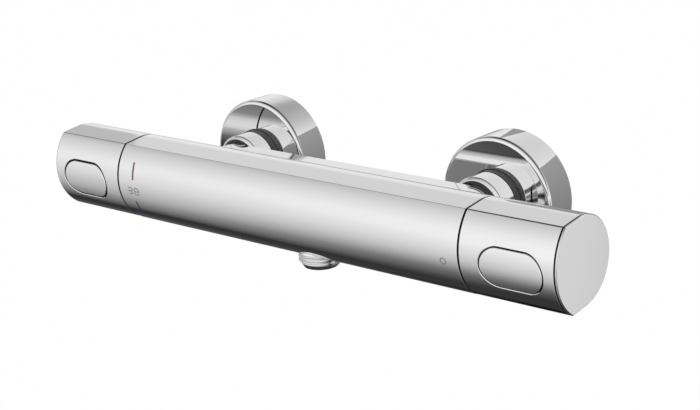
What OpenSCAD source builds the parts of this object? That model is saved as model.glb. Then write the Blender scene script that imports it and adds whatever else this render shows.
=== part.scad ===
// Thermostatic shower valve: a straight bar on two wall unions, a temperature knob on its
// left end, a flow knob on its right end and a hose outlet below.
// Frame: X runs along the bar from left to right, +Y goes into the wall, +Z is up.
// The origin is on the wall's face, midway between the two wall unions.

/* [Bar] */
// Length of the bar's casing between the two knobs
casing_len = 211; // [210:0.2:213]
// Depth of the bar's axis in front of the wall
axis_out = 65.6; // [64:0.2:70]
// Half the height of the section, from the axis to either flat
half_h = 19.8; // [19.6:0.05:20.2]
// Radius of the broad front arc of the section
front_r = 25.25; // [25:0.05:25.6]
// How far the front arc's centre lies behind the axis
front_back = 2.5; // [2.4:0.05:2.6]
// How far the back half circle's centre lies in front of the axis
back_front = 2.5; // [2.3:0.05:2.6]
// Slope of the two flats, down towards the front, in degrees
tilt = 7.5; // [5:0.5:9]
// How much more steeply the casing's underside slopes down to the front than its top
under_slope = 5.3; // [0:0.1:6]
// Wall of the casing
casing_wall = 2.2; // [2:0.1:2.3]

/* [Knobs] */
// Gap between the casing and each knob
seam = 1; // [0.4:0.1:1.2]
// Distance from the bar's middle to each end face
reach = 154.5; // [153:0.05:156]
// Wall of a knob's shell
knob_wall = 2; // [1.8:0.1:2]
// Thickness of the end cap outside the shell
cap_t = 0.5; // [0.5:0.1:2]
// Fine gap between a knob's shell and its end cap
cap_gap = 0.4; // [0.2:0.05:0.5]
// Turn of the temperature knob towards cold, from its 38 degree place
cold_turn = 180; // [150:5:180]
// Turn of the temperature knob towards hot, from its 38 degree place
hot_turn = 75; // [60:5:80]
// Turn of the flow knob from off to full flow
flow_turn = 90; // [80:5:100]

/* [Buttons] */
// Length of a button along the bar
button_len = 31; // [30:0.5:32]
// Height of a button, which is also the diameter of its round ends
button_h = 17.5; // [17:0.5:18]
// Distance of a button's middle from the bar's middle
button_x = 132; // [131:0.5:132.5]
// Gap round a button
button_gap = 0.45; // [0.4:0.05:0.5]
// Travel of a button
button_travel = 2.5; // [2:0.1:2.5]

/* [Wall side] */
// Half the distance between the two inlets
inlet_x = 75; // [74:0.5:76]
// Radius of a wall rose
rose_r = 30.1; // [29:0.1:32]
// Depth of a wall rose
rose_depth = 18.2; // [17.5:0.1:18.5]
// Radius of the hole in a rose's front
rose_hole_r = 15; // [14.9:0.1:15.5]
// Radius of the lip round a rose's front
rose_lip_r = 2; // [1:0.1:2.5]
// Outer radius of a union nut
nut_r = 14.6; // [14.4:0.1:14.8]
// Drop of the wall threads below the bar's axis
eccentric = 8; // [6:0.5:9]
// Radius of a half inch pipe thread
half_inch_r = 10.48; // [10.4:0.02:10.48]
// Radius of a three quarter inch pipe thread
three_quarter_r = 13.2; // [13.1:0.05:13.2]
// Length of the wall threads behind the wall's face
wall_thread = 15; // [12:1:18]
// Half the height of the rail that links the two necks behind the casing
rail_half_h = 11.4; // [11:0.1:11.5]
// Depth of the rail's back face behind the bar's axis
rail_back = 30.8; // [29:0.1:31.5]

/* [Outlet] */
// Distance of the outlet to the right of the bar's middle
outlet_x = 8; // [5:0.5:9]
// Depth of the outlet's lower end below the axis
outlet_low = 29.5; // [28:0.1:31]
// Length of the outlet's thread
outlet_thread = 7; // [7:0.1:8]
// Chamfer round the thread's end
outlet_chamfer = 2.4; // [1:0.1:2.6]

/* [Hidden] */
$fn = 96;

// Clearances: of a sliding or turning fit, of a plain fit between fixed pieces, and a cut's excess
run_gap = 0.05;
fixed_gap = 0.05;
past = 1;

// Along the bar, measured outwards from its middle
casing_end = casing_len / 2;
knob_start = casing_end + seam;
cap_start = reach - cap_t;
knob_end = cap_start - cap_gap;
core_end = 95;
flange_end = 100;
ring_end = 105.2;
stop_start = 105.5;
stop_end = 110;
lug_end = 112;
web_start = 112.4;
web_end = 115;
drive_start = 112.6;
drive_end = 124;
hub_end = 126.5;

// The waterway and the bores in it
core_r = 14.8;
left_bore_r = 12.5;
left_bore_floor = 38;
nose_bore_r = 6;
nose_bore_floor = 30;
mixed_r = 4.8;
cold_gallery_r = 3.2;
cold_gallery_y = 10.6;
right_bore_r = 10.6;
right_bore_floor = 85;
outlet_gallery_r = 2.9;
outlet_gallery_at = 10.9;
outlet_gallery_angle = 18;
boss_r = 10.6;
boss_low = 14.85;
boss_bore_r = 8.95;
boss_bore_top = 8;

// The outlet's plain neck, its bore, the top of its stem, its O-ring's groove and the casing's hole
outlet_neck_r = 10.2;
outlet_bore_r = 6.4;
stem_top = 9;
outlet_groove_z = -12;
outlet_groove_r = 7.5;
casing_hole_r = 10.9;
casing_hole_top = 9;
below = 30;

// The necks at the back, measured from the bar's axis towards the wall
neck_r = 11.5;
neck_room = 0.15;
rail_front = 6;
rail_wall = 2;
rail_end_short = 4;
neck_bore_r = 7;
valve_bore_r = 8.55;
valve_bore_floor = 20;
pocket_floor = 7.5;
neck_end = 39;
snap_y = 36.6;
snap_t = 1.4;
snap_groove_r = 10.9;
snap_outer_r = 12.9;
nut_start = 32.5;
nut_lip_end = 36.3;
nut_end = 43.7;
washer_t = 2;
washer_r = 12.6;
union_start = neck_end + washer_t;
hex_start = 54;
hex_end = 58.5;
hex_r = 20.5;
shoulder_r = 11.6;
shoulder_short = 2;
union_bore_r = 8;
wall_bore_r = 7;
rose_start = axis_out - rose_depth;
rose_wall = 1.3;

// A check valve
check_r = 8.5;
check_inner_r = 6.9;
check_start = 22;
check_end = 37.6;
spider_t = 2;
seat_y = 35.4;
seat_r = 4.8;
poppet_r = 6.2;
poppet_t = 1.75;
stem_r = 1.5;
stem_end = 20.2;

// The thermostatic cartridge
chamber_r = 9.2;
chamber_floor = 44;
chamber_end = 80;
guide_r = 7.05;
guide_end = 93;
spindle_r = 4;
neck_outer_r = 11;
cold_port = 53.5;
hot_port = 71.5;
port_r = 3;
piston_start = 55;
piston_end = 70;
nut_thread_r = 3;
thermostat_grooves = [61.5, 91];
nose_groove = 35;

// Width of the nib in a knob's adapter and the room left beside it at each limit, in degrees
nib_turn = 12;
nib_room = 3;

// The ceramic headpart
cavity_r = 8.4;
cavity_end = 96.3;
disc_start = 87;
disc_t = 2;
disc_gap = 0.05;
window_at = 91.6;
window_r = 1.1;
relief_end = 92.9;

// The spindles' seals, the headpart's seal and the two flats that drive an adapter
temp_seal_at = 98;
flow_seal_at = 102;
headpart_groove = 94;
spindle_groove_r = 3;
seal_half = 0.65;
drive_r = 5;
drive_flat = 4.2;
drive_room = 0.05;

// The buttons
button_face_back = 19.5;
flange_back = 17;
flange_over = 1.2;
flange_gap = 0.3;
seat_front = 12;
seat_back = 10.4;
pin_r = 1.45;
pin_hole_r = 1.52;
pin_dx = 10;
pin_dz = 5.5;
pin_end = 10.2;

// Whole part: the axis of the bar stands in front of the wall
module at_bar() {
    translate([0, -axis_out, 0]) children();
}

// The section's own frame, whose flats slope down towards the front
module sloped() {
    at_bar() rotate([tilt, 0, 0]) children();
}

// Pieces written for the right end, on the left end
module to_left() {
    mirror([1, 0, 0]) children();
}

// A cylinder along the bar, from u0 to u1
module rod(r, u0, u1) {
    translate([u0, 0, 0]) rotate([0, 90, 0]) cylinder(r = r, h = u1 - u0);
}

// A ring along the bar
module ring(r_out, r_in, u0, u1) {
    difference() {
        rod(r_out, u0, u1);
        rod(r_in, u0 - past, u1 + past);
    }
}

// A cylinder towards the wall, from y0 to y1
module stub(r, y0, y1) {
    translate([0, y0, 0]) rotate([-90, 0, 0]) cylinder(r = r, h = y1 - y0);
}

// A ring towards the wall
module collar(r_out, r_in, y0, y1) {
    difference() {
        stub(r_out, y0, y1);
        stub(r_in, y0 - past, y1 + past);
    }
}

// An O-ring round the bar's axis
module o_ring(r_mid, r_cord, u) {
    translate([u, 0, 0]) rotate([0, 90, 0]) rotate_extrude() translate([r_mid, 0]) circle(r = r_cord, $fn = 24);
}

// The D-shaped section, drawn with its depth along x and its height along y
module section_outline(inset = 0) {
    union() {
        intersection() {
            translate([front_back, 0]) circle(r = front_r - inset);
            translate([-40, inset - half_h]) square([40 - back_front, 2 * (half_h - inset)]);
        }
        intersection() {
            translate([-back_front, 0]) circle(r = half_h - inset);
            translate([-back_front, -40]) square([40, 80]);
        }
    }
}

// The section as a bar from u0 to u1
module section_bar(inset, u0, u1) {
    translate([u0, 0, 0]) rotate([90, 0, 90]) linear_extrude(height = u1 - u0) section_outline(inset);
}

// The casing's outline is the knobs' with a steeper underside, which reaches lower at the front
module casing_bar(inset, u0, u1) {
    translate([u0, 0, 0]) rotate([90, 0, 90]) linear_extrude(height = u1 - u0) union() {
        section_outline(inset);
        intersection() {
            translate([front_back, 0]) circle(r = front_r - inset);
            translate([-back_front, 0]) rotate(under_slope) translate([-40, inset - half_h])
                square([40, half_h - inset]);
        }
    }
}

// A shape with round ends, drawn lengthwise along x
module stadium(len, h) {
    half = (len - h) / 2;
    union() {
        translate([-half, -h / 2]) square([2 * half, h]);
        for (side = [-1, 1]) intersection() {
            translate([side * half, 0]) circle(r = h / 2);
            translate([side > 0 ? half : -half - h, -h]) square([h, 2 * h]);
        }
    }
}

// A prism with round ends from depth y_back forwards to y_front
module stadium_prism(len, h, y_front, y_back) {
    translate([button_x, y_back, 0]) rotate([90, 0, 0]) linear_extrude(height = y_back - y_front) stadium(len, h);
}

// A piece of a ring round the bar's axis, starting at an angle and turning through another
module ring_sector(r_out, r_in, u0, u1, start, turn) {
    steps = ceil(turn / 60);
    far = 2 * r_out;
    fan = [for (i = [0 : steps]) let (a = start + turn * i / steps) [far * cos(a), far * sin(a)]];
    intersection() {
        ring(r_out, r_in, u0, u1);
        translate([u0, 0, 0]) rotate([90, 0, 90]) linear_extrude(height = u1 - u0) polygon(concat([[0, 0]], fan));
    }
}

// Points of a coil's tube: a circle of the wire round each point of the coil's line
function coil_ring(r, wire, rise, angle, z) =
    let (
        out = [cos(angle), sin(angle), 0],
        along = [-sin(angle), cos(angle), rise] / sqrt(1 + rise * rise),
        up = cross(out, along)
    )
    [for (i = [0 : 5]) [0, 0, z] + r * out + wire * (cos(60 * i) * out + sin(60 * i) * up)];

// A compression spring that stands on z = 0
module coil(r, wire, turns, len) {
    per_turn = 16;
    count = turns * per_turn;
    travel = len - 2.2 * wire;
    rise = travel / (turns * 2 * PI * r);
    points = [
        for (i = [0 : count])
            each coil_ring(r, wire, rise, 360 * i / per_turn, 1.1 * wire + travel * i / count)
    ];
    sides = [
        for (i = [0 : count - 1], k = [0 : 5])
            let (a = 6 * i + k, b = 6 * i + (k + 1) % 6)
            each [[a, a + 6, b + 6], [a, b + 6, b]]
    ];
    first_end = [for (k = [1 : 4]) [0, k, k + 1]];
    last_end = [for (k = [1 : 4]) [6 * count, 6 * count + k + 1, 6 * count + k]];
    polyhedron(points = points, faces = concat(sides, first_end, last_end));
}

// The casing of the bar: a D-shaped tube with round openings for the necks and the outlet
module body_casing() {
    color("silver") difference() {
        sloped() difference() {
            casing_bar(0, -casing_end, casing_end);
            casing_bar(casing_wall, -casing_end - past, casing_end + past);
        }
        at_bar() for (x = [-inlet_x, inlet_x]) translate([x, 0, 0]) stub(neck_r + neck_room, 5, 30);
        at_bar() translate([outlet_x, 0, -below]) cylinder(r = casing_hole_r, h = below - casing_hole_top);
    }
}

// The groove that holds a neck's snap ring
module snap_groove() {
    collar(neck_r + past, snap_groove_r, snap_y - 0.05, snap_y + snap_t + 0.05);
}

// The cast core: bores for both cartridges, galleries between them, two necks and the outlet boss
module waterway() {
    color("darkkhaki") at_bar() difference() {
        union() {
            rod(core_r, -core_end, core_end);
            for (x = [-inlet_x, inlet_x]) translate([x, 0, 0]) stub(neck_r, 8, neck_end);
            translate([outlet_x, 0, -boss_low]) cylinder(r = boss_r, h = boss_low - 6);
        }
        to_left() {
            rod(left_bore_r, left_bore_floor, core_end + past);
            rod(nose_bore_r, nose_bore_floor, left_bore_floor + past);
        }
        rod(mixed_r, -nose_bore_floor - past, right_bore_floor + past);
        rod(right_bore_r, right_bore_floor, core_end + past);
        translate([0, cold_gallery_y, 0]) rod(cold_gallery_r, -left_bore_floor - past, inlet_x);
        for (side = [-1, 1]) rotate([side * outlet_gallery_angle, 0, 0]) translate([0, 0, -outlet_gallery_at])
            rod(outlet_gallery_r, 0, right_bore_floor + past);
        translate([outlet_x, 0, -boss_low - past]) cylinder(r = boss_bore_r, h = boss_low + past - boss_bore_top);
        translate([-inlet_x, 0, 0]) stub(neck_bore_r, 0, neck_end);
        translate([inlet_x, 0, 0]) stub(neck_bore_r, pocket_floor, neck_end);
        for (x = [-inlet_x, inlet_x]) translate([x, 0, 0]) {
            stub(valve_bore_r, valve_bore_floor, neck_end + past);
            snap_groove();
        }
    }
}

// A plug that closes the casing's end and centres it on the cartridge
module end_ring() {
    difference() {
        sloped() section_bar(casing_wall + fixed_gap, flange_end, ring_end);
        at_bar() rod(neck_outer_r + fixed_gap, flange_end - past, ring_end + past);
    }
}

module left_end_ring() {
    color("dimgray") to_left() end_ring();
}

module right_end_ring() {
    color("dimgray") end_ring();
}

// The rail behind the casing that links the two necks: a cover, hollow and open at its front
module rear_rail() {
    half_len = inlet_x - rail_end_short;
    cavity_half = inlet_x - neck_r - fixed_gap - rail_wall;
    color("silver") difference() {
        at_bar() difference() {
            translate([-half_len, rail_front, -rail_half_h])
                cube([2 * half_len, rail_back - rail_front, 2 * rail_half_h]);
            translate([-cavity_half, rail_front - past, rail_wall - rail_half_h])
                cube([2 * cavity_half, rail_back - rail_wall - rail_front + past, 2 * (rail_half_h - rail_wall)]);
            for (x = [-inlet_x, inlet_x]) translate([x, 0, 0]) stub(neck_r + fixed_gap, 0, rail_back + past);
        }
        sloped() section_bar(-fixed_gap, -casing_end, casing_end);
    }
}

// The hose outlet: a half inch thread below the casing and a stem in the core's boss
module outlet_nipple() {
    color("silver") at_bar() translate([outlet_x, 0, 0]) difference() {
        union() {
            translate([0, 0, -outlet_low])
                cylinder(r1 = half_inch_r - outlet_chamfer, r2 = half_inch_r, h = outlet_chamfer);
            translate([0, 0, outlet_chamfer - outlet_low])
                cylinder(r = half_inch_r, h = outlet_thread - outlet_chamfer);
            translate([0, 0, outlet_thread - outlet_low - past])
                cylinder(r = outlet_neck_r, h = outlet_low - outlet_thread + past - boss_low - fixed_gap);
            translate([0, 0, -boss_low - 1]) cylinder(r = boss_bore_r - fixed_gap, h = boss_low + 1 - stem_top);
        }
        translate([0, 0, -outlet_low - past]) cylinder(r = outlet_bore_r, h = outlet_low);
        translate([0, 0, outlet_groove_z - 0.8]) difference() {
            cylinder(r = boss_bore_r + past, h = 1.6);
            translate([0, 0, -past]) cylinder(r = outlet_groove_r, h = 4);
        }
    }
}

module outlet_seal() {
    color("black") at_bar() translate([outlet_x, 0, outlet_groove_z]) rotate_extrude() translate([outlet_groove_r + 0.7, 0]) circle(r = 0.65, $fn = 24);
}

// A smooth union nut: a lip that bears on the snap ring, and a bore for the three quarter inch thread
module union_nut(x) {
    chamfer = 1.3;
    at_bar() translate([x, 0, 0]) difference() {
        union() {
            translate([0, nut_start, 0]) rotate([-90, 0, 0]) cylinder(r1 = nut_r - chamfer, r2 = nut_r, h = chamfer);
            stub(nut_r, nut_start + chamfer, nut_end);
        }
        stub(neck_r + 0.1, nut_start - past, nut_end);
        stub(three_quarter_r + fixed_gap, nut_lip_end, nut_end + past);
    }
}

module hot_union_nut() {
    color("silver") union_nut(-inlet_x);
}

module cold_union_nut() {
    color("silver") union_nut(inlet_x);
}

// The rings that keep the union nuts on their necks
module nut_snap_rings() {
    color("gray") at_bar() for (x = [-inlet_x, inlet_x]) translate([x, 0, 0])
        collar(snap_outer_r, snap_groove_r + fixed_gap, snap_y, snap_y + snap_t);
}

// The fibre washers between the necks and the wall unions
module union_washers() {
    color("saddlebrown") at_bar() for (x = [-inlet_x, inlet_x]) translate([x, 0, 0])
        collar(washer_r, valve_bore_r, neck_end, neck_end + washer_t);
}

// The perforated discs that keep grit out of the valve
module inlet_strainers() {
    mesh_pitch = 4;
    color("gainsboro") at_bar() for (x = [-inlet_x, inlet_x]) translate([x, 0, 0]) difference() {
        stub(valve_bore_r - fixed_gap, check_end + 0.2, neck_end - 0.2);
        for (i = [-1 : 1], k = [-1 : 1]) translate([mesh_pitch * i, 0, mesh_pitch * k]) stub(1.4, check_end, neck_end);
    }
}

// A check valve's housing: a spider that guides the stem and a seat for the poppet
module check_housing(x) {
    at_bar() translate([x, 0, 0]) difference() {
        stub(check_r, check_start, check_end);
        stub(check_inner_r, check_start + spider_t, seat_y);
        stub(seat_r, seat_y - past, check_end + past);
        stub(stem_r + run_gap, check_start - past, check_start + spider_t + past);
        for (i = [0 : 5]) rotate([0, 60 * i, 0]) translate([4.7, 0, 0])
            stub(1.6, check_start - past, check_start + spider_t + past);
    }
}

module hot_check_housing() {
    color("ivory") check_housing(-inlet_x);
}

module cold_check_housing() {
    color("ivory") check_housing(inlet_x);
}

// A poppet: a head behind the seat and a stem through the spider
module check_poppet(x) {
    head_back = seat_y - 0.05;
    at_bar() translate([x, 0, 0]) {
        stub(poppet_r, head_back - poppet_t, head_back);
        stub(stem_r, stem_end, head_back - 0.5);
    }
}

module hot_check_poppet() {
    color("ivory") check_poppet(-inlet_x);
}

module cold_check_poppet() {
    color("ivory") check_poppet(inlet_x);
}

// The spring that closes a poppet
module check_spring(x) {
    low = check_start + spider_t;
    at_bar() translate([x, low, 0]) rotate([-90, 0, 0]) coil(r = 3.4, wire = 0.4, turns = 5, len = seat_y - 0.05 - poppet_t - low);
}

module hot_check_spring() {
    color("lightsteelblue") check_spring(-inlet_x);
}

module cold_check_spring() {
    color("lightsteelblue") check_spring(inlet_x);
}

// An eccentric wall union: the nut's thread, a spanner hexagon and the lower wall thread
module s_union(x) {
    at_bar() translate([x, 0, 0]) difference() {
        union() {
            stub(three_quarter_r, union_start, hex_start + past);
            translate([0, hex_start, -eccentric / 2]) rotate([-90, 0, 0]) cylinder(r = hex_r, h = hex_end - hex_start, $fn = 6);
            translate([0, 0, -eccentric]) stub(shoulder_r, hex_end - past, axis_out - shoulder_short);
            translate([0, 0, -eccentric]) stub(half_inch_r, hex_end, axis_out + wall_thread);
        }
        stub(union_bore_r, union_start - past, hex_end - 2);
        translate([0, 0, -eccentric]) stub(wall_bore_r, hex_end - 3, axis_out + wall_thread + past);
    }
}

module hot_s_union() {
    color("silver") s_union(-inlet_x);
}

module cold_s_union() {
    color("silver") s_union(inlet_x);
}

// A wall rose: a cup with a rounded lip, open towards the wall
module wall_rose(x) {
    at_bar() translate([x, rose_start, 0]) rotate([-90, 0, 0]) rotate_extrude() difference() {
        union() {
            translate([rose_hole_r, 0]) square([rose_r - rose_lip_r - rose_hole_r, rose_depth]);
            translate([rose_r - rose_lip_r, rose_lip_r]) square([rose_lip_r, rose_depth - rose_lip_r]);
            intersection() {
                translate([rose_r - rose_lip_r, rose_lip_r]) circle(r = rose_lip_r, $fn = 48);
                translate([rose_r - rose_lip_r, 0]) square([rose_lip_r, rose_lip_r]);
            }
        }
        translate([rose_hole_r - past, rose_wall]) square([rose_r - rose_wall - rose_hole_r + past, rose_depth]);
    }
}

module hot_wall_rose() {
    color("silver") wall_rose(-inlet_x);
}

module cold_wall_rose() {
    color("silver") wall_rose(inlet_x);
}

// The rubber rings that hold the roses on their unions, each with a sleeve between the rose and its nut
module rose_grip_rings() {
    flange_start = rose_start + 1.9;
    color("black") at_bar() for (x = [-inlet_x, inlet_x]) translate([x, 0, 0]) {
        collar(rose_r - rose_wall - fixed_gap, three_quarter_r + fixed_gap, flange_start, rose_start + 5);
        collar(rose_hole_r - 0.2, three_quarter_r + fixed_gap, nut_end + 0.1, flange_start + 0.5);
    }
}

// The thermostatic cartridge's housing, screwed into the core's left bore
module thermostat_housing() {
    color("goldenrod") at_bar() to_left() difference() {
        union() {
            rod(nose_bore_r - 0.1, nose_bore_floor + 1, chamber_floor);
            rod(left_bore_r - 0.1, left_bore_floor + 2, core_end);
            rod(core_r, core_end, flange_end);
            rod(neck_outer_r, flange_end - past, lug_end);
        }
        rod(chamber_r, chamber_floor, chamber_end);
        rod(guide_r, chamber_end - past, guide_end);
        rod(spindle_r + run_gap, guide_end - past, lug_end + past);
        rod(4, nose_bore_floor, chamber_floor + past);
        ring(left_bore_r + past, 11.2, left_bore_floor + 4, 58);
        ring(left_bore_r + past, 11.2, 65, 85);
        for (u = thermostat_grooves) ring(left_bore_r + past, 10.6, u - 1.1, u + 1.1);
        ring(nose_bore_r + past, 4.9, nose_groove - 0.7, nose_groove + 0.7);
        for (u = [cold_port, hot_port], a = [0, 90]) rotate([a, 0, 0])
            translate([u, 0, -left_bore_r]) cylinder(r = port_r, h = 2 * left_bore_r);
    }
}

// The O-rings between the thermostat's housing and the core
module thermostat_seals() {
    color("black") at_bar() to_left() {
        for (u = thermostat_grooves) o_ring(11.55, 0.9, u);
        o_ring(5.43, 0.5, nose_groove);
    }
}

// The sleeve that opens one port as it closes the other, with a web that carries the wax element
module mixing_piston() {
    color("peru") at_bar() to_left() difference() {
        rod(chamber_r - run_gap, piston_start, piston_end);
        rod(7.8, piston_start - past, 60);
        rod(7.8, 63, piston_end + past);
        rod(5.05, 59, 64);
        for (a = [0 : 60 : 300]) rotate([a, 0, 0]) translate([59, 6.4, 0]) rod(0.9, 0, 5);
    }
}

// The wax element, whose pin pushes out as the mixed water warms
module wax_element() {
    color("darkgoldenrod") at_bar() to_left() {
        rod(5, 47, 68);
        rod(6.6, 63.05, 65);
        rod(1.8, 67, 77.95);
    }
}

// The nut that the spindle's thread drives along the bar
module drive_nut() {
    color("peru") at_bar() to_left() difference() {
        rod(guide_r - run_gap, 78, 88);
        rod(nut_thread_r, 79.5, 88 + past);
    }
}

// The stiff spring that lets the wax pin overrun when the valve is shut hot
module overload_spring() {
    color("lightsteelblue") at_bar() to_left() translate([65, 0, 0]) rotate([0, 90, 0])
        coil(r = 5.7, wire = 0.55, turns = 6, len = 13);
}

// The spring that returns the piston as the water cools
module return_spring() {
    color("lightsteelblue") at_bar() to_left() translate([chamber_floor, 0, 0]) rotate([0, 90, 0])
        coil(r = 7, wire = 0.55, turns = 6, len = 15.6);
}

// The end of a spindle: two flats that drive the adapter, and a tapped hole for the knob's screw
module drive_end() {
    difference() {
        intersection() {
            rod(drive_r, drive_start, drive_end);
            translate([drive_start - past, -6, -drive_flat]) cube([drive_end - drive_start + 2 * past, 12, 2 * drive_flat]);
        }
        rod(2, lug_end, drive_end + past);
    }
}

// The temperature spindle: a thread in the drive nut, a collar and a shaft
module temp_spindle() {
    color("goldenrod") at_bar() to_left() {
        difference() {
            union() {
                rod(nut_thread_r - run_gap, 81.5, 90.5);
                rod(6.5, 90, 92.7);
                rod(spindle_r, 92, drive_start);
            }
            ring(spindle_r + past, spindle_groove_r, temp_seal_at - seal_half, temp_seal_at + seal_half);
        }
        drive_end();
    }
}

module temp_spindle_seal() {
    color("black") at_bar() to_left() o_ring(spindle_groove_r + 0.53, 0.5, temp_seal_at);
}

// A ring keyed on a cartridge's neck, whose lug ends the knob's turn
module stop_ring(lug_start, lug_turn) {
    at_bar() {
        ring(14.4, neck_outer_r + fixed_gap, stop_start, stop_end);
        ring_sector(14.4, neck_outer_r + fixed_gap, stop_end - 0.5, lug_end, lug_start, lug_turn);
    }
}

module temp_stop_ring() {
    free_turn = cold_turn + hot_turn + nib_turn + 2 * nib_room;
    color("dimgray") to_left() stop_ring(180 + cold_turn + nib_turn / 2 + nib_room, 360 - free_turn);
}

module flow_stop_ring() {
    free_turn = flow_turn + nib_turn + 2 * nib_room;
    color("dimgray") stop_ring(180 + flow_turn + nib_turn / 2 + nib_room, 360 - free_turn);
}

// A knob's shell: the bar's section, hollow, with the button's opening in its front
module knob_shell() {
    sloped() difference() {
        section_bar(0, knob_start, knob_end);
        section_bar(knob_wall, knob_start - past, knob_end + past);
        stadium_prism(button_len + 2 * button_gap, button_h + 2 * button_gap, -30, -12);
    }
}

module temp_knob() {
    color("silver") to_left() knob_shell();
}

module flow_knob() {
    color("silver") knob_shell();
}

// A knob's end cap: a bevelled plate over the shell's end, backed by a plug with a rim
module end_cap() {
    bevel = 0.4;
    plate = 1.4;
    plug = 3;
    sloped() union() {
        hull() {
            section_bar(0, cap_start, reach - bevel, $fn = 64);
            section_bar(bevel, reach - 0.1, reach, $fn = 64);
        }
        difference() {
            section_bar(knob_wall + fixed_gap, cap_start - plug, cap_start + 0.2);
            section_bar(knob_wall + 1.6, cap_start - plug - past, cap_start - plate);
        }
    }
}

module temp_end_cap() {
    color("silver") to_left() end_cap();
}

module flow_end_cap() {
    color("silver") end_cap();
}

// A knob's adapter: a web inside the shell, a hub on the spindle and a seat for the button's spring
module knob_adapter() {
    flat = drive_flat + drive_room;
    sloped() difference() {
        union() {
            section_bar(knob_wall + fixed_gap, web_start, web_end);
            rotate([-tilt, 0, 0]) rod(8, web_start, hub_end);
            translate([web_end - 0.5, -seat_front, -9.5]) cube([149 - web_end, seat_front - seat_back, 19]);
            for (z = [-9.5, 8.1]) translate([web_end - 0.5, -seat_back - 0.2, z]) cube([34, 4, 1.4]);
            translate([web_end - 0.5, -seat_back - 0.2, -3]) cube([hub_end - web_end, 4.5, 6]);
            rotate([-tilt, 0, 0]) ring_sector(14.2, 11.5, stop_end + 0.4, web_start + 0.4, 180 - nib_turn / 2, nib_turn);
        }
        rotate([-tilt, 0, 0]) intersection() {
            rod(drive_r + drive_room, web_start - past, drive_end + 0.4);
            translate([web_start - 2, -7, -flat]) cube([20, 14, 2 * flat]);
        }
        rotate([-tilt, 0, 0]) rod(2.1, drive_end, hub_end + past);
        for (dx = [-pin_dx, pin_dx], z = [-pin_dz, pin_dz]) translate([button_x + dx, 0, z])
            stub(pin_hole_r, -seat_front - past, button_travel + flange_gap - pin_end);
    }
}

module temp_adapter() {
    color("dimgray") to_left() knob_adapter();
}

module flow_adapter() {
    color("dimgray") knob_adapter();
}

// The screw that holds a knob's adapter on its spindle
module knob_screw() {
    at_bar() difference() {
        union() {
            rod(3.6, hub_end, hub_end + 2.4);
            rod(1.95, 114, hub_end + 0.2);
        }
        rotate([0, 90, 0]) translate([0, 0, hub_end + 1]) cylinder(r = 1.5, h = 3, $fn = 6);
    }
}

module temp_knob_screw() {
    color("lightgray") to_left() knob_screw();
}

module flow_knob_screw() {
    color("lightgray") knob_screw();
}

// A button flush with the knob's front arc, with an inner flange and four guide pins
module knob_button() {
    sloped() {
        intersection() {
            translate([0, front_back, 0]) rod(front_r, 100, 150);
            stadium_prism(button_len, button_h, -30, -button_face_back);
        }
        intersection() {
            translate([0, front_back, 0]) rod(front_r - knob_wall - flange_gap, 100, 150);
            stadium_prism(button_len + 2 * flange_over, button_h + 2 * flange_over, -30, -flange_back);
        }
        for (dx = [-pin_dx, pin_dx], z = [-pin_dz, pin_dz]) translate([button_x + dx, 0, z])
            stub(pin_r, -flange_back - 0.5, -pin_end);
        translate([button_x, 0, 0]) stub(2.2, -flange_back - 0.5, -flange_back + 1.6);
    }
}

module temp_button() {
    color("silver") to_left() knob_button();
}

module flow_button() {
    color("silver") knob_button();
}

// The spring behind a button
module button_spring() {
    sloped() translate([button_x, -flange_back, 0]) rotate([-90, 0, 0])
        coil(r = 3.2, wire = 0.4, turns = 4, len = flange_back - seat_front);
}

module temp_button_spring() {
    color("lightsteelblue") to_left() button_spring();
}

module flow_button_spring() {
    color("lightsteelblue") button_spring();
}

// The headpart's body, screwed into the core's right bore over the ceramic discs
module flow_headpart() {
    color("goldenrod") at_bar() difference() {
        union() {
            rod(right_bore_r - 0.05, disc_start - 0.2, core_end);
            rod(core_r, core_end, flange_end);
            rod(neck_outer_r, flange_end - past, lug_end);
        }
        rod(cavity_r, disc_start - past, cavity_end);
        rod(spindle_r + run_gap, cavity_end - past, lug_end + past);
        ring(right_bore_r + past, 9.7, disc_start - past, relief_end);
        ring(right_bore_r + past, 9.3, headpart_groove - 0.7, headpart_groove + 0.7);
        for (a = [0 : 45 : 315]) rotate([a, 0, 0]) translate([window_at, 0, cavity_r - 1.5])
            cylinder(r = window_r, h = 4);
    }
}

module headpart_seal() {
    color("black") at_bar() o_ring(9.93, 0.55, headpart_groove);
}

// The rubber ring between the core's seat and the fixed disc
module seat_seal() {
    color("black") at_bar() ring(7.8, 6.2, right_bore_floor, disc_start);
}

// A ceramic disc with two openings opposite each other
module ceramic_disc(r, u0, u1, start) {
    difference() {
        rod(r, u0, u1);
        for (a = [0, 180]) ring_sector(6.6, 2.4, u0 - past, u1 + past, start + a, 78);
    }
}

module fixed_disc() {
    color("white") at_bar() ceramic_disc(cavity_r - 0.05, disc_start, disc_start + disc_t, -39);
}

module moving_disc() {
    low = disc_start + disc_t + disc_gap;
    color("whitesmoke") at_bar() difference() {
        ceramic_disc(cavity_r - 0.1, low, low + disc_t, 51);
        for (y = [-1, 1]) translate([low + 1.1, 5.2 * y - 1.6, -1.2]) cube([3, 3.2, 2.4]);
    }
}

// The flow spindle: a dog with two legs in the moving disc, and a shaft
module flow_spindle() {
    low = disc_start + disc_t + disc_gap;
    color("goldenrod") at_bar() {
        difference() {
            union() {
                rod(8.3, 94, cavity_end - 0.1);
                rod(spindle_r, 95, drive_start);
                for (y = [-1, 1]) translate([low + 1.2, 5.2 * y - 1.5, -1.1]) cube([94.5 - low - 1.2, 3, 2.2]);
            }
            ring(spindle_r + past, spindle_groove_r, flow_seal_at - seal_half, flow_seal_at + seal_half);
        }
        drive_end();
    }
}

module flow_spindle_seal() {
    color("black") at_bar() o_ring(spindle_groove_r + 0.53, 0.5, flow_seal_at);
}

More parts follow.
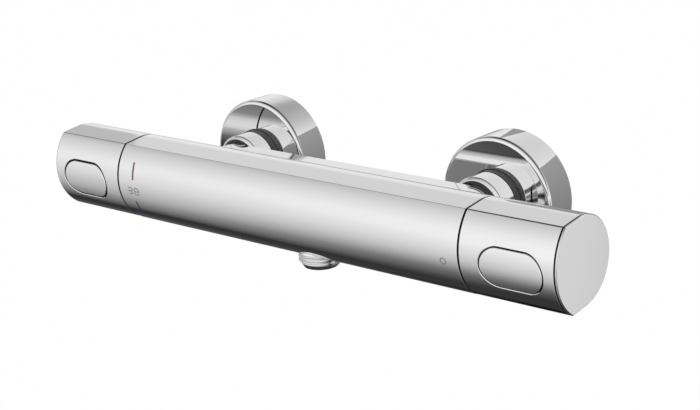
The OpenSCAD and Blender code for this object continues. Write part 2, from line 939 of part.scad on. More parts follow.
body_casing();
waterway();
left_end_ring();
right_end_ring();
rear_rail();
outlet_nipple();
outlet_seal();
hot_union_nut();
cold_union_nut();
nut_snap_rings();
union_washers();
inlet_strainers();
hot_check_housing();
cold_check_housing();
hot_check_poppet();
cold_check_poppet();
hot_check_spring();
cold_check_spring();
hot_s_union();
cold_s_union();
hot_wall_rose();
cold_wall_rose();
rose_grip_rings();
thermostat_housing();
thermostat_seals();
mixing_piston();
wax_element();
drive_nut();
overload_spring();
return_spring();
temp_spindle();
temp_spindle_seal();
temp_stop_ring();
temp_knob();
temp_end_cap();
temp_adapter();
temp_knob_screw();
temp_button();
temp_button_spring();
flow_headpart();
headpart_seal();
seat_seal();
fixed_disc();
moving_disc();
flow_spindle();
flow_spindle_seal();
flow_stop_ring();
flow_knob();
flow_end_cap();
flow_adapter();
flow_knob_screw();
flow_button();
flow_button_spring();
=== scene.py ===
"""A chromium plated thermostatic shower valve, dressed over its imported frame."""
import logging
import math
from dataclasses import dataclass, field
from enum import Enum
from typing import Any, Callable, Iterable, Sequence

import bmesh
import bpy
import numpy as np
from bmesh.types import BMEdge, BMFace, BMesh, BMVert
from bpy.types import Material, Mesh, Node, NodeSocket, NodeTree, Object
from mathutils import Matrix, Vector


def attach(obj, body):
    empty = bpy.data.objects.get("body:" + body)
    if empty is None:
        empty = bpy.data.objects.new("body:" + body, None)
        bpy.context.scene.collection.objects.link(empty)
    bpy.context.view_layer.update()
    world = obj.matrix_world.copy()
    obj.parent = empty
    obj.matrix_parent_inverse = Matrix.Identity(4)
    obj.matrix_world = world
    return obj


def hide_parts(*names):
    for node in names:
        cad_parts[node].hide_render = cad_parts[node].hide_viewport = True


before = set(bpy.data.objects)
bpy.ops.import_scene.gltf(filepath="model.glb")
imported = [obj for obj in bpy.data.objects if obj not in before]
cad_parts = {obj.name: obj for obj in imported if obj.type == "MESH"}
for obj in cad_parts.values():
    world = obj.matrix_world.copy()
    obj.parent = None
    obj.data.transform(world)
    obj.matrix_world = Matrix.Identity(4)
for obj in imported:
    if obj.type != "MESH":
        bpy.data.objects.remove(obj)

LOG = logging.getLogger("valve")

# Sizes are in millimetres until a piece is put in its place.
MM = 0.001
WELD = 1e-4
AXIS_OUT = 65.6
TILT = math.radians(7.5)
INLET_X = 75.0
X_AXIS = (1.0, 0.0, 0.0)
Y_AXIS = (0.0, 1.0, 0.0)
Z_AXIS = (0.0, 0.0, 1.0)

# The bar's own frame, the frame whose flats slope, and its copy on the left end
AT_BAR = Matrix.Scale(MM, 4) @ Matrix.Translation((0.0, -AXIS_OUT, 0.0))
SLOPE = Matrix.Rotation(TILT, 4, "X")
SLOPED = AT_BAR @ SLOPE
MIRROR = Matrix.Scale(-1.0, 4, X_AXIS)


class End(Enum):
    """The two ends of the bar, by the sign of x."""

    LEFT = -1
    RIGHT = 1

    def place(self, matrix: Matrix) -> Matrix:
        """Give the placing matrix for this end of a piece drawn for the right end."""
        return matrix @ MIRROR if self is End.LEFT else matrix


class Cut(Enum):
    """How one solid works on another."""

    AWAY = "DIFFERENCE"
    JOIN = "UNION"


# Finishes

def linear(code: str) -> tuple[float, float, float, float]:
    """Turn an sRGB hex code into a linear colour.

    Args:
        code: Six hex digits after a hash sign.

    Returns:
        Red, green, blue and alpha as Blender stores them.
    """
    parts = [int(code[i:i + 2], 16) / 255.0 for i in (1, 3, 5)]
    red, green, blue = [c / 12.92 if c <= 0.04045 else ((c + 0.055) / 1.055) ** 2.4 for c in parts]
    return (red, green, blue, 1.0)


def per_mm(size: float) -> float:
    """Give the texture scale that repeats a pattern every so many millimetres."""
    return 1.0 / (size * MM)


def add(tree: NodeTree, kind: str, settings: dict[Any, Any] | None = None,
        links: dict[Any, NodeSocket] | None = None) -> Node:
    """Add one node with its settings and links.

    Args:
        tree: The node tree that gets the node.
        kind: The node's class name.
        settings: Values by the name or number of an input, or by the node's own attribute.
        links: Output sockets by the name or number of the input that they feed.

    Returns:
        The new node.
    """
    node = tree.nodes.new(kind)
    for key, value in (settings or {}).items():
        if isinstance(key, int) or key in node.inputs:
            node.inputs[key].default_value = value
        else:
            setattr(node, key, value)
    for key, socket in (links or {}).items():
        tree.links.new(socket, node.inputs[key])
    return node


def fresh(name: str) -> tuple[Material, NodeTree]:
    """Make a material with an empty node tree, and give both."""
    made = bpy.data.materials.new(name)
    made.use_nodes = True
    made.node_tree.nodes.clear()
    return made, made.node_tree


@dataclass(frozen=True)
class Finish:
    """A surface finish on the standard shader; its detail comes from the classes below.

    Attributes:
        name: The finish, as a maker calls it.
        colour: Its base colour as an sRGB hex code.
        metallic: One for a metal.
        roughness: The mean roughness.
        ior: The index of refraction of what isn't a metal.
    """

    name: str
    colour: str
    metallic: float = 0.0
    roughness: float = 0.4
    ior: float = 1.5

    def material(self) -> Material:
        """Give the finish's material, made at its first use."""
        found = bpy.data.materials.get(self.name)
        if found:
            return found
        made, tree = fresh(self.name)
        shader = add(tree, "ShaderNodeBsdfPrincipled", {
            "Base Color": linear(self.colour), "Metallic": self.metallic, "Roughness": self.roughness})
        if not self.metallic:
            shader.inputs["IOR"].default_value = self.ior
        add(tree, "ShaderNodeOutputMaterial", links={"Surface": shader.outputs["BSDF"]})
        self.detail(tree, shader)
        return made

    def detail(self, tree: NodeTree, shader: Node) -> None:
        """Add the finish's own pattern to its shader."""

    def grain(self, tree: NodeTree, size: float, stretch: tuple[float, float, float] = (1, 1, 1),
              detail: float = 3.0) -> NodeSocket:
        """Draw a noise pattern on the piece.

        Args:
            tree: The finish's node tree.
            size: The size of a grain in millimetres.
            stretch: How much finer the grain is along each axis.
            detail: How many finer layers the noise has.

        Returns:
            The noise's value, from 0 to 1.
        """
        place = add(tree, "ShaderNodeTexCoord")
        spread = add(tree, "ShaderNodeMapping", {"Scale": stretch}, {"Vector": place.outputs["Object"]})
        noise = add(tree, "ShaderNodeTexNoise", {"Scale": per_mm(size), "Detail": detail},
                    {"Vector": spread.outputs["Vector"]})
        return noise.outputs["Fac"]

    def vary_roughness(self, tree: NodeTree, shader: Node, value: NodeSocket,
                       low: float, high: float) -> None:
        """Let the roughness wander between two values with a pattern."""
        spread = add(tree, "ShaderNodeMapRange",
                     {"From Min": 0.3, "From Max": 0.7, "To Min": low, "To Max": high}, {"Value": value})
        tree.links.new(spread.outputs["Result"], shader.inputs["Roughness"])

    def vary_colour(self, tree: NodeTree, shader: Node, value: NodeSocket,
                    dark: str, light: str) -> None:
        """Let the base colour wander between two hex colours with a pattern."""
        ramp = add(tree, "ShaderNodeValToRGB", links={"Fac": value})
        for stop, at, code in zip(ramp.color_ramp.elements, (0.35, 0.65), (dark, light)):
            stop.position = at
            stop.color = linear(code)
        tree.links.new(ramp.outputs["Color"], shader.inputs["Base Color"])

    def roughen(self, tree: NodeTree, shader: Node, value: NodeSocket,
                height: float, strength: float = 1.0) -> None:
        """Raise the surface by a pattern, up to a height in millimetres."""
        bump = add(tree, "ShaderNodeBump", {"Strength": strength, "Distance": height * MM},
                   {"Height": value})
        tree.links.new(bump.outputs["Normal"], shader.inputs["Normal"])


@dataclass(frozen=True)
class PolishedChrome(Finish):
    """Bright chromium over polished metal or ABS: a clean mirror.

    The eye sees the studio in it, sharp, with a haze that comes and goes faintly where the buffing
    wheel passed and a skin that is level to within a thousandth of a millimetre.
    """

    metallic: float = 1.0
    roughness: float = 0.03
    buffing: float = 6.0

    def detail(self, tree: NodeTree, shader: Node) -> None:
        """Add the buffing's haze and the plating's faint swell."""
        haze = self.grain(tree, self.buffing, (0.4, 1.0, 1.0))
        self.vary_roughness(tree, shader, haze, self.roughness * 0.7, self.roughness * 1.6)
        swell = self.grain(tree, 14.0, detail=1.0)
        self.roughen(tree, shader, swell, 0.0015)


@dataclass(frozen=True)
class SatinChrome(Finish):
    """Chromium over a blasted moulding: a soft even sheen with no sharp mirror image."""

    metallic: float = 1.0
    roughness: float = 0.24

    def detail(self, tree: NodeTree, shader: Node) -> None:
        """Add the blasting's grain, drawn at 0.2 mm so that it shows."""
        grit = self.grain(tree, 0.2)
        self.vary_roughness(tree, shader, grit, self.roughness * 0.9, self.roughness * 1.15)
        self.roughen(tree, shader, grit, 0.001)


@dataclass(frozen=True)
class CastBrass(Finish):
    """Gravity cast brass with plated necks: dull and pitted inside, bright where it leaves the casing."""

    metallic: float = 1.0
    roughness: float = 0.42
    plating: str = "#EFEFEF"
    plated_from: float = 10.0

    def detail(self, tree: NodeTree, shader: Node) -> None:
        """Add the casting's skin, and the plating behind the casing."""
        place = add(tree, "ShaderNodeTexCoord")
        depth = add(tree, "ShaderNodeSeparateXYZ", links={"Vector": place.outputs["Object"]})
        plated = add(tree, "ShaderNodeMapRange",
                     {"From Min": (self.plated_from - AXIS_OUT) * MM,
                      "From Max": (self.plated_from + 0.5 - AXIS_OUT) * MM}, {"Value": depth.outputs["Y"]})
        pits = self.grain(tree, 0.7, detail=5.0)
        skin = add(tree, "ShaderNodeMapRange", {"To Min": 0.3, "To Max": 0.55}, {"Value": pits})
        gloss = add(tree, "ShaderNodeMix", {"data_type": "FLOAT", "B": 0.04},
                    {"Factor": plated.outputs["Result"], "A": skin.outputs["Result"]})
        tree.links.new(gloss.outputs["Result"], shader.inputs["Roughness"])
        tone = add(tree, "ShaderNodeMix",
                   {"data_type": "RGBA", 6: linear(self.colour), 7: linear(self.plating)},
                   {"Factor": plated.outputs["Result"]})
        tree.links.new(tone.outputs[2], shader.inputs["Base Color"])
        bare = add(tree, "ShaderNodeMath", {"operation": "SUBTRACT", 0: 1.0},
                   {1: plated.outputs["Result"]})
        bump = add(tree, "ShaderNodeBump", {"Distance": 0.05 * MM},
                   {"Height": pits, "Strength": bare.outputs["Value"]})
        tree.links.new(bump.outputs["Normal"], shader.inputs["Normal"])


@dataclass(frozen=True)
class TurnedBrass(Finish):
    """Brass turned on a lathe: fine rings round the bar's axis that draw the light into bands."""

    metallic: float = 1.0
    roughness: float = 0.22
    feed: float = 0.35

    def detail(self, tree: NodeTree, shader: Node) -> None:
        """Add the tool's rings, drawn at 0.35 mm so that they show, and a slight tarnish."""
        place = add(tree, "ShaderNodeTexCoord")
        rings = add(tree, "ShaderNodeTexWave",
                    {"bands_direction": "X", "Scale": per_mm(self.feed) / 20.0, "Distortion": 0.6,
                     "Detail": 1.0}, {"Vector": place.outputs["Object"]})
        self.roughen(tree, shader, rings.outputs["Fac"], 0.006)
        self.vary_colour(tree, shader, self.grain(tree, 4.0), "#C9A15A", "#DDB873")


@dataclass(frozen=True)
class DrawnSteel(Finish):
    """Stainless steel wire and sheet: grey, half bright, with the die's fine streaks."""

    metallic: float = 1.0
    roughness: float = 0.3

    def detail(self, tree: NodeTree, shader: Node) -> None:
        """Add the streaks, a third of a millimetre apart."""
        streaks = self.grain(tree, 1.2, (1.0, 4.0, 4.0))
        self.vary_roughness(tree, shader, streaks, 0.22, 0.4)
        self.roughen(tree, shader, streaks, 0.004)


@dataclass(frozen=True)
class MouldedAcetal(Finish):
    """Injection moulded acetal: a waxy half gloss with the mould's fine spark texture."""

    roughness: float = 0.38
    ior: float = 1.48
    dark: str = "#17181A"
    light: str = "#1F2022"

    def detail(self, tree: NodeTree, shader: Node) -> None:
        """Add the mould's texture, 0.25 mm across, and the flow's faint clouds."""
        spark = self.grain(tree, 0.25)
        self.roughen(tree, shader, spark, 0.01)
        self.vary_colour(tree, shader, self.grain(tree, 5.0), self.dark, self.light)


@dataclass(frozen=True)
class LappedCeramic(Finish):
    """Alumina lapped flat: dense white with a glassy face and a few grey specks."""

    roughness: float = 0.12
    ior: float = 1.76

    def detail(self, tree: NodeTree, shader: Node) -> None:
        """Add the specks and the lap's faint haze."""
        self.vary_colour(tree, shader, self.grain(tree, 0.6), "#E2E1DB", "#EEEDE8")
        self.vary_roughness(tree, shader, self.grain(tree, 2.0), 0.08, 0.2)


@dataclass(frozen=True)
class MouldedRubber(Finish):
    """Moulded EPDM rubber: dark grey and dull, with a dusty bloom."""

    roughness: float = 0.55
    ior: float = 1.52

    def detail(self, tree: NodeTree, shader: Node) -> None:
        """Add the bloom and the mould's fine pores."""
        self.vary_colour(tree, shader, self.grain(tree, 3.0), "#3C3C3D", "#4A4A4B")
        self.vary_roughness(tree, shader, self.grain(tree, 2.0), 0.42, 0.62)
        self.roughen(tree, shader, self.grain(tree, 0.3), 0.012)


@dataclass(frozen=True)
class VulcanisedFibre(Finish):
    """Punched vulcanised fibre: red brown board with its fibres lying in the sheet."""

    roughness: float = 0.6

    def detail(self, tree: NodeTree, shader: Node) -> None:
        """Add the fibres, a quarter of a millimetre thick."""
        fibres = self.grain(tree, 1.0, (1.0, 4.0, 1.0), detail=4.0)
        self.vary_colour(tree, shader, fibres, "#6A2E1D", "#8A4630")
        self.roughen(tree, shader, fibres, 0.03)


@dataclass(frozen=True)
class PrintedInk(Finish):
    """Pad printed ink: a thin flat film, a little thinner here and there."""

    roughness: float = 0.3
    light: str = "#808080"

    def detail(self, tree: NodeTree, shader: Node) -> None:
        """Add the film's uneven cover."""
        self.vary_colour(tree, shader, self.grain(tree, 0.5), self.colour, self.light)


BAR_CHROME = PolishedChrome("polished_chrome_on_brass", "#F0F0F0")
KNOB_CHROME = PolishedChrome("polished_chrome_on_ABS", "#F0F0F0", roughness=0.035)
FITTING_CHROME = PolishedChrome("polished_chrome_on_turned_brass", "#F0F0F0", roughness=0.025)
ROSE_CHROME = PolishedChrome("polished_chrome_on_drawn_steel", "#F0F0F0", roughness=0.02)
CAP_CHROME = SatinChrome("satin_chrome_on_ABS", "#EDEDED")
BARE_BRASS = CastBrass("cast_brass_with_plated_necks", "#B8935A")
# Painted shade: a dark finish on end faces, inner skins, bores and the sides of openings, standing in for
# the shade that falls in the seams and gaps between the chrome parts.
PAINTED_GAP_SHADE = MouldedAcetal("painted_gap_shade", "#3A3A3A", dark="#2A2A2B", light="#363637")
CARTRIDGE_BRASS = TurnedBrass("turned_brass", "#D3AC66")
STEEL = DrawnSteel("drawn_stainless_steel", "#B9BABD")
BLACK_ACETAL = MouldedAcetal("moulded_black_acetal", "#1B1C1E")
WHITE_ACETAL = MouldedAcetal("moulded_white_acetal", "#E3E2DA", dark="#DEDDD4", light="#E8E7E0")
CERAMIC = LappedCeramic("lapped_alumina", "#E9E8E3")
RUBBER = MouldedRubber("moulded_EPDM_rubber", "#434344")
FIBRE = VulcanisedFibre("vulcanised_fibre", "#7A3A27")
RED_INK = PrintedInk("printed_red_ink", "#6E2E34", light="#78383E")
BLUE_INK = PrintedInk("printed_blue_ink", "#1E3A66", light="#284672")
GREY_INK = PrintedInk("printed_grey_ink", "#7A7A7A", light="#848484")


# Shaping

def arc(bm: BMesh, start: BMVert, centre: Sequence[float], axis: Sequence[float],
        angle: float, steps: int) -> BMVert:
    """Draw an arc of edges by turning a vertex about a centre.

    Args:
        bm: The mesh being made.
        start: The vertex that the arc starts from.
        centre: A point on the axis.
        axis: The axis's direction.
        angle: The turn in radians.
        steps: How many edges the arc has.

    Returns:
        The vertex at the arc's end.
    """
    made = bmesh.ops.spin(bm, geom=[start], cent=centre, axis=axis, dvec=(0, 0, 0), angle=angle,
                          steps=steps, use_merge=False, use_duplicate=False)
    return next(part for part in made["geom_last"] if isinstance(part, BMVert))


def line(bm: BMesh, start: BMVert, to: Sequence[float]) -> BMVert:
    """Draw a straight edge from a vertex to a point, and give the vertex there."""
    end = bmesh.ops.extrude_vert_indiv(bm, verts=[start])["verts"][0]
    end.co = to
    return end


def close(bm: BMesh, end: BMVert, start: BMVert) -> None:
    """Weld the last vertex of a loop onto its first."""
    bmesh.ops.weld_verts(bm, targetmap={end: start})


def loft(bm: BMesh, loops: Sequence[list[BMEdge]], ring: bool = False) -> None:
    """Skin a row of loops.

    Args:
        bm: The mesh being made.
        loops: The loops in their order, each with as many edges as the next.
        ring: Whether the last loop is joined to the first; otherwise both ends are closed with a face.
    """
    pairs = list(zip(loops, loops[1:]))
    if ring:
        pairs.append((loops[-1], loops[0]))
    for first, second in pairs:
        bmesh.ops.bridge_loops(bm, edges=list(first) + list(second))
    if not ring:
        for end in (loops[0], loops[-1]):
            bmesh.ops.contextual_create(bm, geom=list(end))
    bmesh.ops.recalc_face_normals(bm, faces=bm.faces)


def ease(bm: BMesh, edges: Iterable[BMEdge], size: float, steps: int = 3) -> None:
    """Round edges off by so many millimetres."""
    bmesh.ops.bevel(bm, geom=list(edges), offset=size, offset_type="OFFSET", segments=steps, profile=0.5,
                    affect="EDGES", clamp_overlap=False, material=-1)


def rod(radius: float, start: Vector, end: Vector, steps: int = 96) -> BMesh:
    """Make a round rod between two points."""
    bm = bmesh.new()
    run = end - start
    turn = Vector(Z_AXIS).rotation_difference(run).to_matrix().to_4x4()
    bmesh.ops.create_cone(bm, cap_ends=True, segments=steps, radius1=radius, radius2=radius,
                          depth=run.length, matrix=Matrix.Translation((start + end) / 2) @ turn)
    return bm


def turned(profile: Sequence[tuple[float, float]], steps: int = 128,
           fine: tuple[int, int] | None = None) -> BMesh:
    """Turn a closed profile about the Y axis.

    Args:
        profile: Corners as radius and distance along Y.
        steps: How many faces go round.
        fine: The number of the edge that is cut up for a thread, and into how many pieces.

    Returns:
        The mesh, closed.
    """
    bm = bmesh.new()
    corners = [bm.verts.new((radius, along, 0.0)) for radius, along in profile]
    edges = [bm.edges.new((corners[i - 1], corners[i])) for i in range(len(corners))]
    if fine:
        bmesh.ops.subdivide_edges(bm, edges=[edges[fine[0]]], cuts=fine[1])
    bmesh.ops.spin(bm, geom=bm.verts[:] + bm.edges[:], cent=(0, 0, 0), axis=Y_AXIS, dvec=(0, 0, 0),
                   angle=math.tau, steps=steps, use_merge=True, use_duplicate=False)
    bmesh.ops.recalc_face_normals(bm, faces=bm.faces)
    return bm


def rings(bm: BMesh, radius: float, along: float) -> list[BMEdge]:
    """Find the edges of one corner of a turned mesh.

    Args:
        bm: A mesh turned about the Y axis.
        radius: The corner's radius.
        along: The corner's distance along Y.

    Returns:
        The edges that run round there.
    """
    def here(vert: BMVert) -> bool:
        """Tell whether a vertex is on the corner."""
        return abs(math.hypot(vert.co.x, vert.co.z) - radius) < 1e-3 and abs(vert.co.y - along) < 1e-3
    return [edge for edge in bm.edges if all(here(vert) for vert in edge.verts)]


@dataclass(frozen=True)
class Thread:
    """A right-hand pipe thread on a turned mesh.

    Attributes:
        radius: The crest's radius.
        start: Where it starts along Y.
        end: Where it ends along Y.
        pitch: The distance from crest to crest.
        depth: From crest to root.
    """

    radius: float
    start: float
    end: float
    pitch: float = 1.814
    depth: float = 1.0

    def cut(self, bm: BMesh) -> None:
        """Sink the thread's groove into the mesh."""
        for vert in bm.verts:
            reach = math.hypot(vert.co.x, vert.co.z)
            if abs(reach - self.radius) > 0.01 or not self.start <= vert.co.y <= self.end:
                continue
            turn = math.atan2(vert.co.z, vert.co.x) / math.tau
            wave = 0.5 + 0.5 * math.cos(math.tau * (vert.co.y / self.pitch + turn))
            fade = min(1.0, (vert.co.y - self.start) / self.pitch, (self.end - vert.co.y) / self.pitch)
            scale = 1.0 - self.depth * max(fade, 0.0) * (1.0 - wave ** 0.8) / self.radius
            vert.co.x *= scale
            vert.co.z *= scale


def hold(bm: BMesh, name: str) -> Object:
    """Put a mesh in an object of the scene, and free its bmesh."""
    mesh = bpy.data.meshes.new(name)
    bm.to_mesh(mesh)
    bm.free()
    held = bpy.data.objects.new(name, mesh)
    bpy.context.scene.collection.objects.link(held)
    return held


def paint_gap_shade(bm: BMesh, inside: Callable[[Vector, BMFace], bool]) -> None:
    """Give the faces that a test picks out, by their middle, the second finish, which is painted shade for
    seams and gaps, and all others the first.
    """
    for face in bm.faces:
        face.material_index = 1 if inside(face.calc_center_median(), face) else 0


def work(shape: BMesh, tools: Sequence[BMesh], cut: Cut = Cut.AWAY) -> BMesh:
    """Cut solids away from a shape, or join them to it.

    Args:
        shape: The shape that is worked on.
        tools: The solids, in the same frame.
        cut: Away or join.

    Returns:
        The worked shape.
    """
    for solid in (shape, *tools):
        bmesh.ops.recalc_face_normals(solid, faces=solid.faces)
    body = hold(shape, "work")
    held = [hold(tool, "tool") for tool in tools]
    for tool in held:
        step = body.modifiers.new("step", "BOOLEAN")
        step.object = tool
        step.operation = cut.value
        step.solver = "EXACT"
    bpy.context.view_layer.update()
    result = bmesh.new()
    result.from_object(body, bpy.context.evaluated_depsgraph_get())
    for used in [body] + held:
        mesh = used.data
        bpy.data.objects.remove(used)
        bpy.data.meshes.remove(mesh)
    bmesh.ops.remove_doubles(result, verts=result.verts, dist=WELD)
    return result


@dataclass(frozen=True)
class Round:
    """A round skin along X, in the frame of the section: its centre and radius."""

    y: float
    z: float
    radius: float


@dataclass
class Piece:
    """A finished piece of the valve, ready for its body.

    Attributes:
        name: The piece's name.
        shape: Its mesh, in millimetres.
        place: The matrix that puts it in its place, in metres.
        body: The body that it moves with.
        slot: The name of a material slot; it is not used.
        finishes: Its finishes, by face number.
        nodes: The nodes that it stands for.
        skins: Its round skins, which get their true normals.
        lathed: Whether it is turned about its own Y axis.
        flat_over: The area in square millimetres over which a face is taken as part of a flat.
    """

    name: str
    shape: BMesh
    place: Matrix
    body: str
    slot: str
    finishes: Sequence[Finish]
    nodes: Sequence[str] = ()
    skins: Sequence[Round] = ()
    lathed: bool = False
    flat_over: float = 4.0

    def settle(self) -> Object:
        """Put the piece in its place, dress it and hand it to its body.

        Returns:
            The piece's object.
        """
        bm = self.shape
        bmesh.ops.remove_doubles(bm, verts=bm.verts, dist=WELD)
        bmesh.ops.transform(bm, matrix=self.place, verts=bm.verts)
        bmesh.ops.recalc_face_normals(bm, faces=bm.faces)
        piece = hold(bm, self.name)
        mesh = piece.data
        for finish in self.finishes:
            mesh.materials.append(finish.material())
        mesh.shade_smooth()
        mesh.set_sharp_from_angle(angle=math.radians(32))
        self.true_normals(mesh)
        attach(piece, self.body)
        if self.nodes:
            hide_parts(*self.nodes)
        LOG.info("%s: %d faces, on %s", self.name, len(mesh.polygons), self.body)
        return piece

    def true_normals(self, mesh: Mesh) -> None:
        """Give flats and round skins the normals of the surfaces that they stand for.

        Args:
            mesh: The piece's mesh, in its place.
        """
        back = np.array(self.place.inverted())
        there = np.array(self.place)[:3, :3]
        points = np.array([vert.co for vert in mesh.vertices])
        own = points @ back[:3, :3].T + back[:3, 3]
        normals = np.array([corner.vector for corner in mesh.corner_normals])
        for face in mesh.polygons:
            corners = list(face.loop_indices)
            facing = np.array(face.normal)
            verts = own[list(face.vertices)]
            along = abs(float(there[:, 1] @ facing)) / MM
            if along > 0.999 if self.lathed else face.area > self.flat_over * MM * MM:
                normals[corners] = face.normal
            if self.lathed and along < 0.02:
                self.point_out(normals, corners, verts * (1, 0, 1), facing, there)
            for skin in self.skins:
                out = verts - np.array([0.0, skin.y, skin.z])
                if abs(math.hypot(*out.mean(0)[1:]) - skin.radius) < 0.03:
                    self.point_out(normals, corners, out * (0, 1, 1), facing, there)
        mesh.normals_split_custom_set(normals.tolist())

    def point_out(self, normals: np.ndarray, corners: list[int], out: np.ndarray, facing: np.ndarray,
                  there: np.ndarray) -> None:
        """Give a round face's corners their radial directions, where the face lies along the skin.

        Args:
            normals: The mesh's corner normals, which are changed.
            corners: The face's corners.
            out: The radial directions in the piece's own frame.
            facing: The face's normal.
            there: The turn from the piece's own frame.
        """
        out = out @ there.T
        out /= np.linalg.norm(out, axis=1)[:, None]
        lean = float(out.mean(0) @ facing)
        if abs(lean) > 0.98:
            normals[corners] = out * math.copysign(1.0, lean)


# The section and the round-ended outline

@dataclass(frozen=True)
class Section:
    """The D-shaped section that the casing, knobs and caps share.

    Attributes:
        half_height: From the axis to either flat.
        front_radius: Of the broad front arc.
        front_centre: The front arc's centre along y.
        back_centre: The back half circle's centre along y.
        crease: The rounding where the front arc meets a flat.
        under: How much more steeply the underside slopes down to the front than the top, in degrees.
    """

    half_height: float = 19.8
    front_radius: float = 25.25
    front_centre: float = 2.5
    back_centre: float = -2.5
    crease: float = 0.45
    under: float = 0.0

    def under_front(self, point: Vector) -> float:
        """Tell how deep a point lies under the front arc."""
        return self.front_radius - math.hypot(point.y - self.front_centre, point.z)

    def corner(self, inset: float, under: float = 0.0) -> tuple[float, float, float, float]:
        """Work out the rounding between the front arc and a flat.

        Args:
            inset: How far inside the section the loop lies.
            under: The flat's extra slope in degrees.

        Returns:
            The rounding's radius, its centre's y and height, and the front arc's angle there.
        """
        slope = math.radians(under)
        fillet = max(self.crease - inset, 0.05)
        reach = self.front_radius - inset - fillet
        rise = self.half_height - inset - fillet
        apart = self.front_centre - self.back_centre
        angle = math.asin((rise - apart * math.sin(slope)) / reach) + slope
        return fillet, self.front_centre - reach * math.cos(angle), reach * math.sin(angle), angle

    def loop(self, bm: BMesh, inset: float, along: float) -> list[BMEdge]:
        """Draw the section's outline.

        Args:
            bm: The mesh being made.
            inset: How far inside the section the outline lies.
            along: Where it is along x.

        Returns:
            The outline's edges.
        """
        before = set(bm.edges)
        radius = self.front_radius - inset
        height = self.half_height - inset
        fillet, top_y, top_z, top = self.corner(inset)
        _, low_y, low_z, low = self.corner(inset, self.under)
        slope = math.radians(self.under)
        start_y = self.front_centre - radius * math.cos(low)
        first = bm.verts.new((along, start_y, -radius * math.sin(low)))
        vert = arc(bm, first, (along, self.front_centre, 0), X_AXIS, -top - low, 72)
        vert = arc(bm, vert, (along, top_y, top_z), X_AXIS, top - math.pi / 2, 4)
        vert = line(bm, vert, (along, self.back_centre, height))
        vert = arc(bm, vert, (along, self.back_centre, 0), X_AXIS, slope - math.pi, 60)
        foot = (along, low_y + fillet * math.sin(slope), -low_z - fillet * math.cos(slope))
        vert = line(bm, vert, foot)
        vert = arc(bm, vert, (along, low_y, -low_z), X_AXIS, low - slope - math.pi / 2, 4)
        close(bm, vert, first)
        return [edge for edge in bm.edges if edge not in before]

    def skins(self, inset: float = 0.0) -> list[Round]:
        """List the round skins of a bar of this section."""
        fillet, top_y, top_z, _ = self.corner(inset)
        _, low_y, low_z, _ = self.corner(inset, self.under)
        return [Round(self.front_centre, 0.0, self.front_radius - inset),
                Round(self.back_centre, 0.0, self.half_height - inset),
                Round(top_y, top_z, fillet), Round(low_y, -low_z, fillet)]

    def bar(self, inset: float, start: float, end: float) -> BMesh:
        """Make a solid bar of the section."""
        bm = bmesh.new()
        loft(bm, [self.loop(bm, inset, start), self.loop(bm, inset, end)])
        return bm

    def tube(self, wall: float, start: float, end: float, rim: float, skin: float = 0.0) -> BMesh:
        """Make a tube of the section with its outer rims rounded.

        Args:
            wall: The tube's wall.
            start: Where it starts along x.
            end: Where it ends.
            rim: The rounding of its two outer rims.
            skin: How far inside the section its outer skin lies.

        Returns:
            The tube, closed, with its inner skin and its end faces as material 1, painted shade that makes
            the seams between the parts look dark.
        """
        bm = bmesh.new()
        outer = [self.loop(bm, skin, start), self.loop(bm, skin, end)]
        inner = [self.loop(bm, wall, end), self.loop(bm, wall, start)]
        rims = outer[0] + outer[1]
        loft(bm, outer + inner, ring=True)
        ease(bm, rims, rim)
        centre = Vector((0.0, self.front_centre, 0.0))
        # Painted shade on the end faces and the inner skin, where the seams look into the dark.
        paint_gap_shade(bm, lambda middle, face: abs(face.normal.x) > 0.95
               or ((middle - centre) * Vector((0, 1, 1))).dot(face.normal) < 0.0)
        return bm


@dataclass(frozen=True)
class Slotted:
    """A round-ended outline in front of the bar, such as a button's.

    Attributes:
        length: Along x.
        height: Across, which is also the diameter of the ends.
        middle: The middle along x.
        section: The section whose front arc the outline may follow.
    """

    length: float
    height: float
    middle: float
    section: Section

    def loop(self, bm: BMesh, grow: float, depth: float, flat: bool) -> list[BMEdge]:
        """Draw the outline, flat or wrapped on the front arc.

        Args:
            bm: The mesh being made.
            grow: How far outside the outline the loop lies.
            depth: Its y where it is flat, and otherwise how deep it lies under the front arc.
            flat: Whether it is flat.

        Returns:
            The loop's edges.
        """
        before = set(bm.edges)
        radius = self.height / 2 + grow
        half = (self.length - self.height) / 2
        first = bm.verts.new((self.middle + half, 0, -radius))
        vert = arc(bm, first, (self.middle + half, 0, 0), Y_AXIS, -math.pi, 36)
        vert = line(bm, vert, (self.middle - half, 0, radius))
        vert = arc(bm, vert, (self.middle - half, 0, 0), Y_AXIS, -math.pi, 36)
        bm.edges.new((vert, first))
        edges = [edge for edge in bm.edges if edge not in before]
        for vert in {vert for edge in edges for vert in edge.verts}:
            vert.co.y = depth if flat else self.section.front_centre - math.sqrt(
                (self.section.front_radius - depth) ** 2 - vert.co.z ** 2)
        return edges


# Sub-assemblies

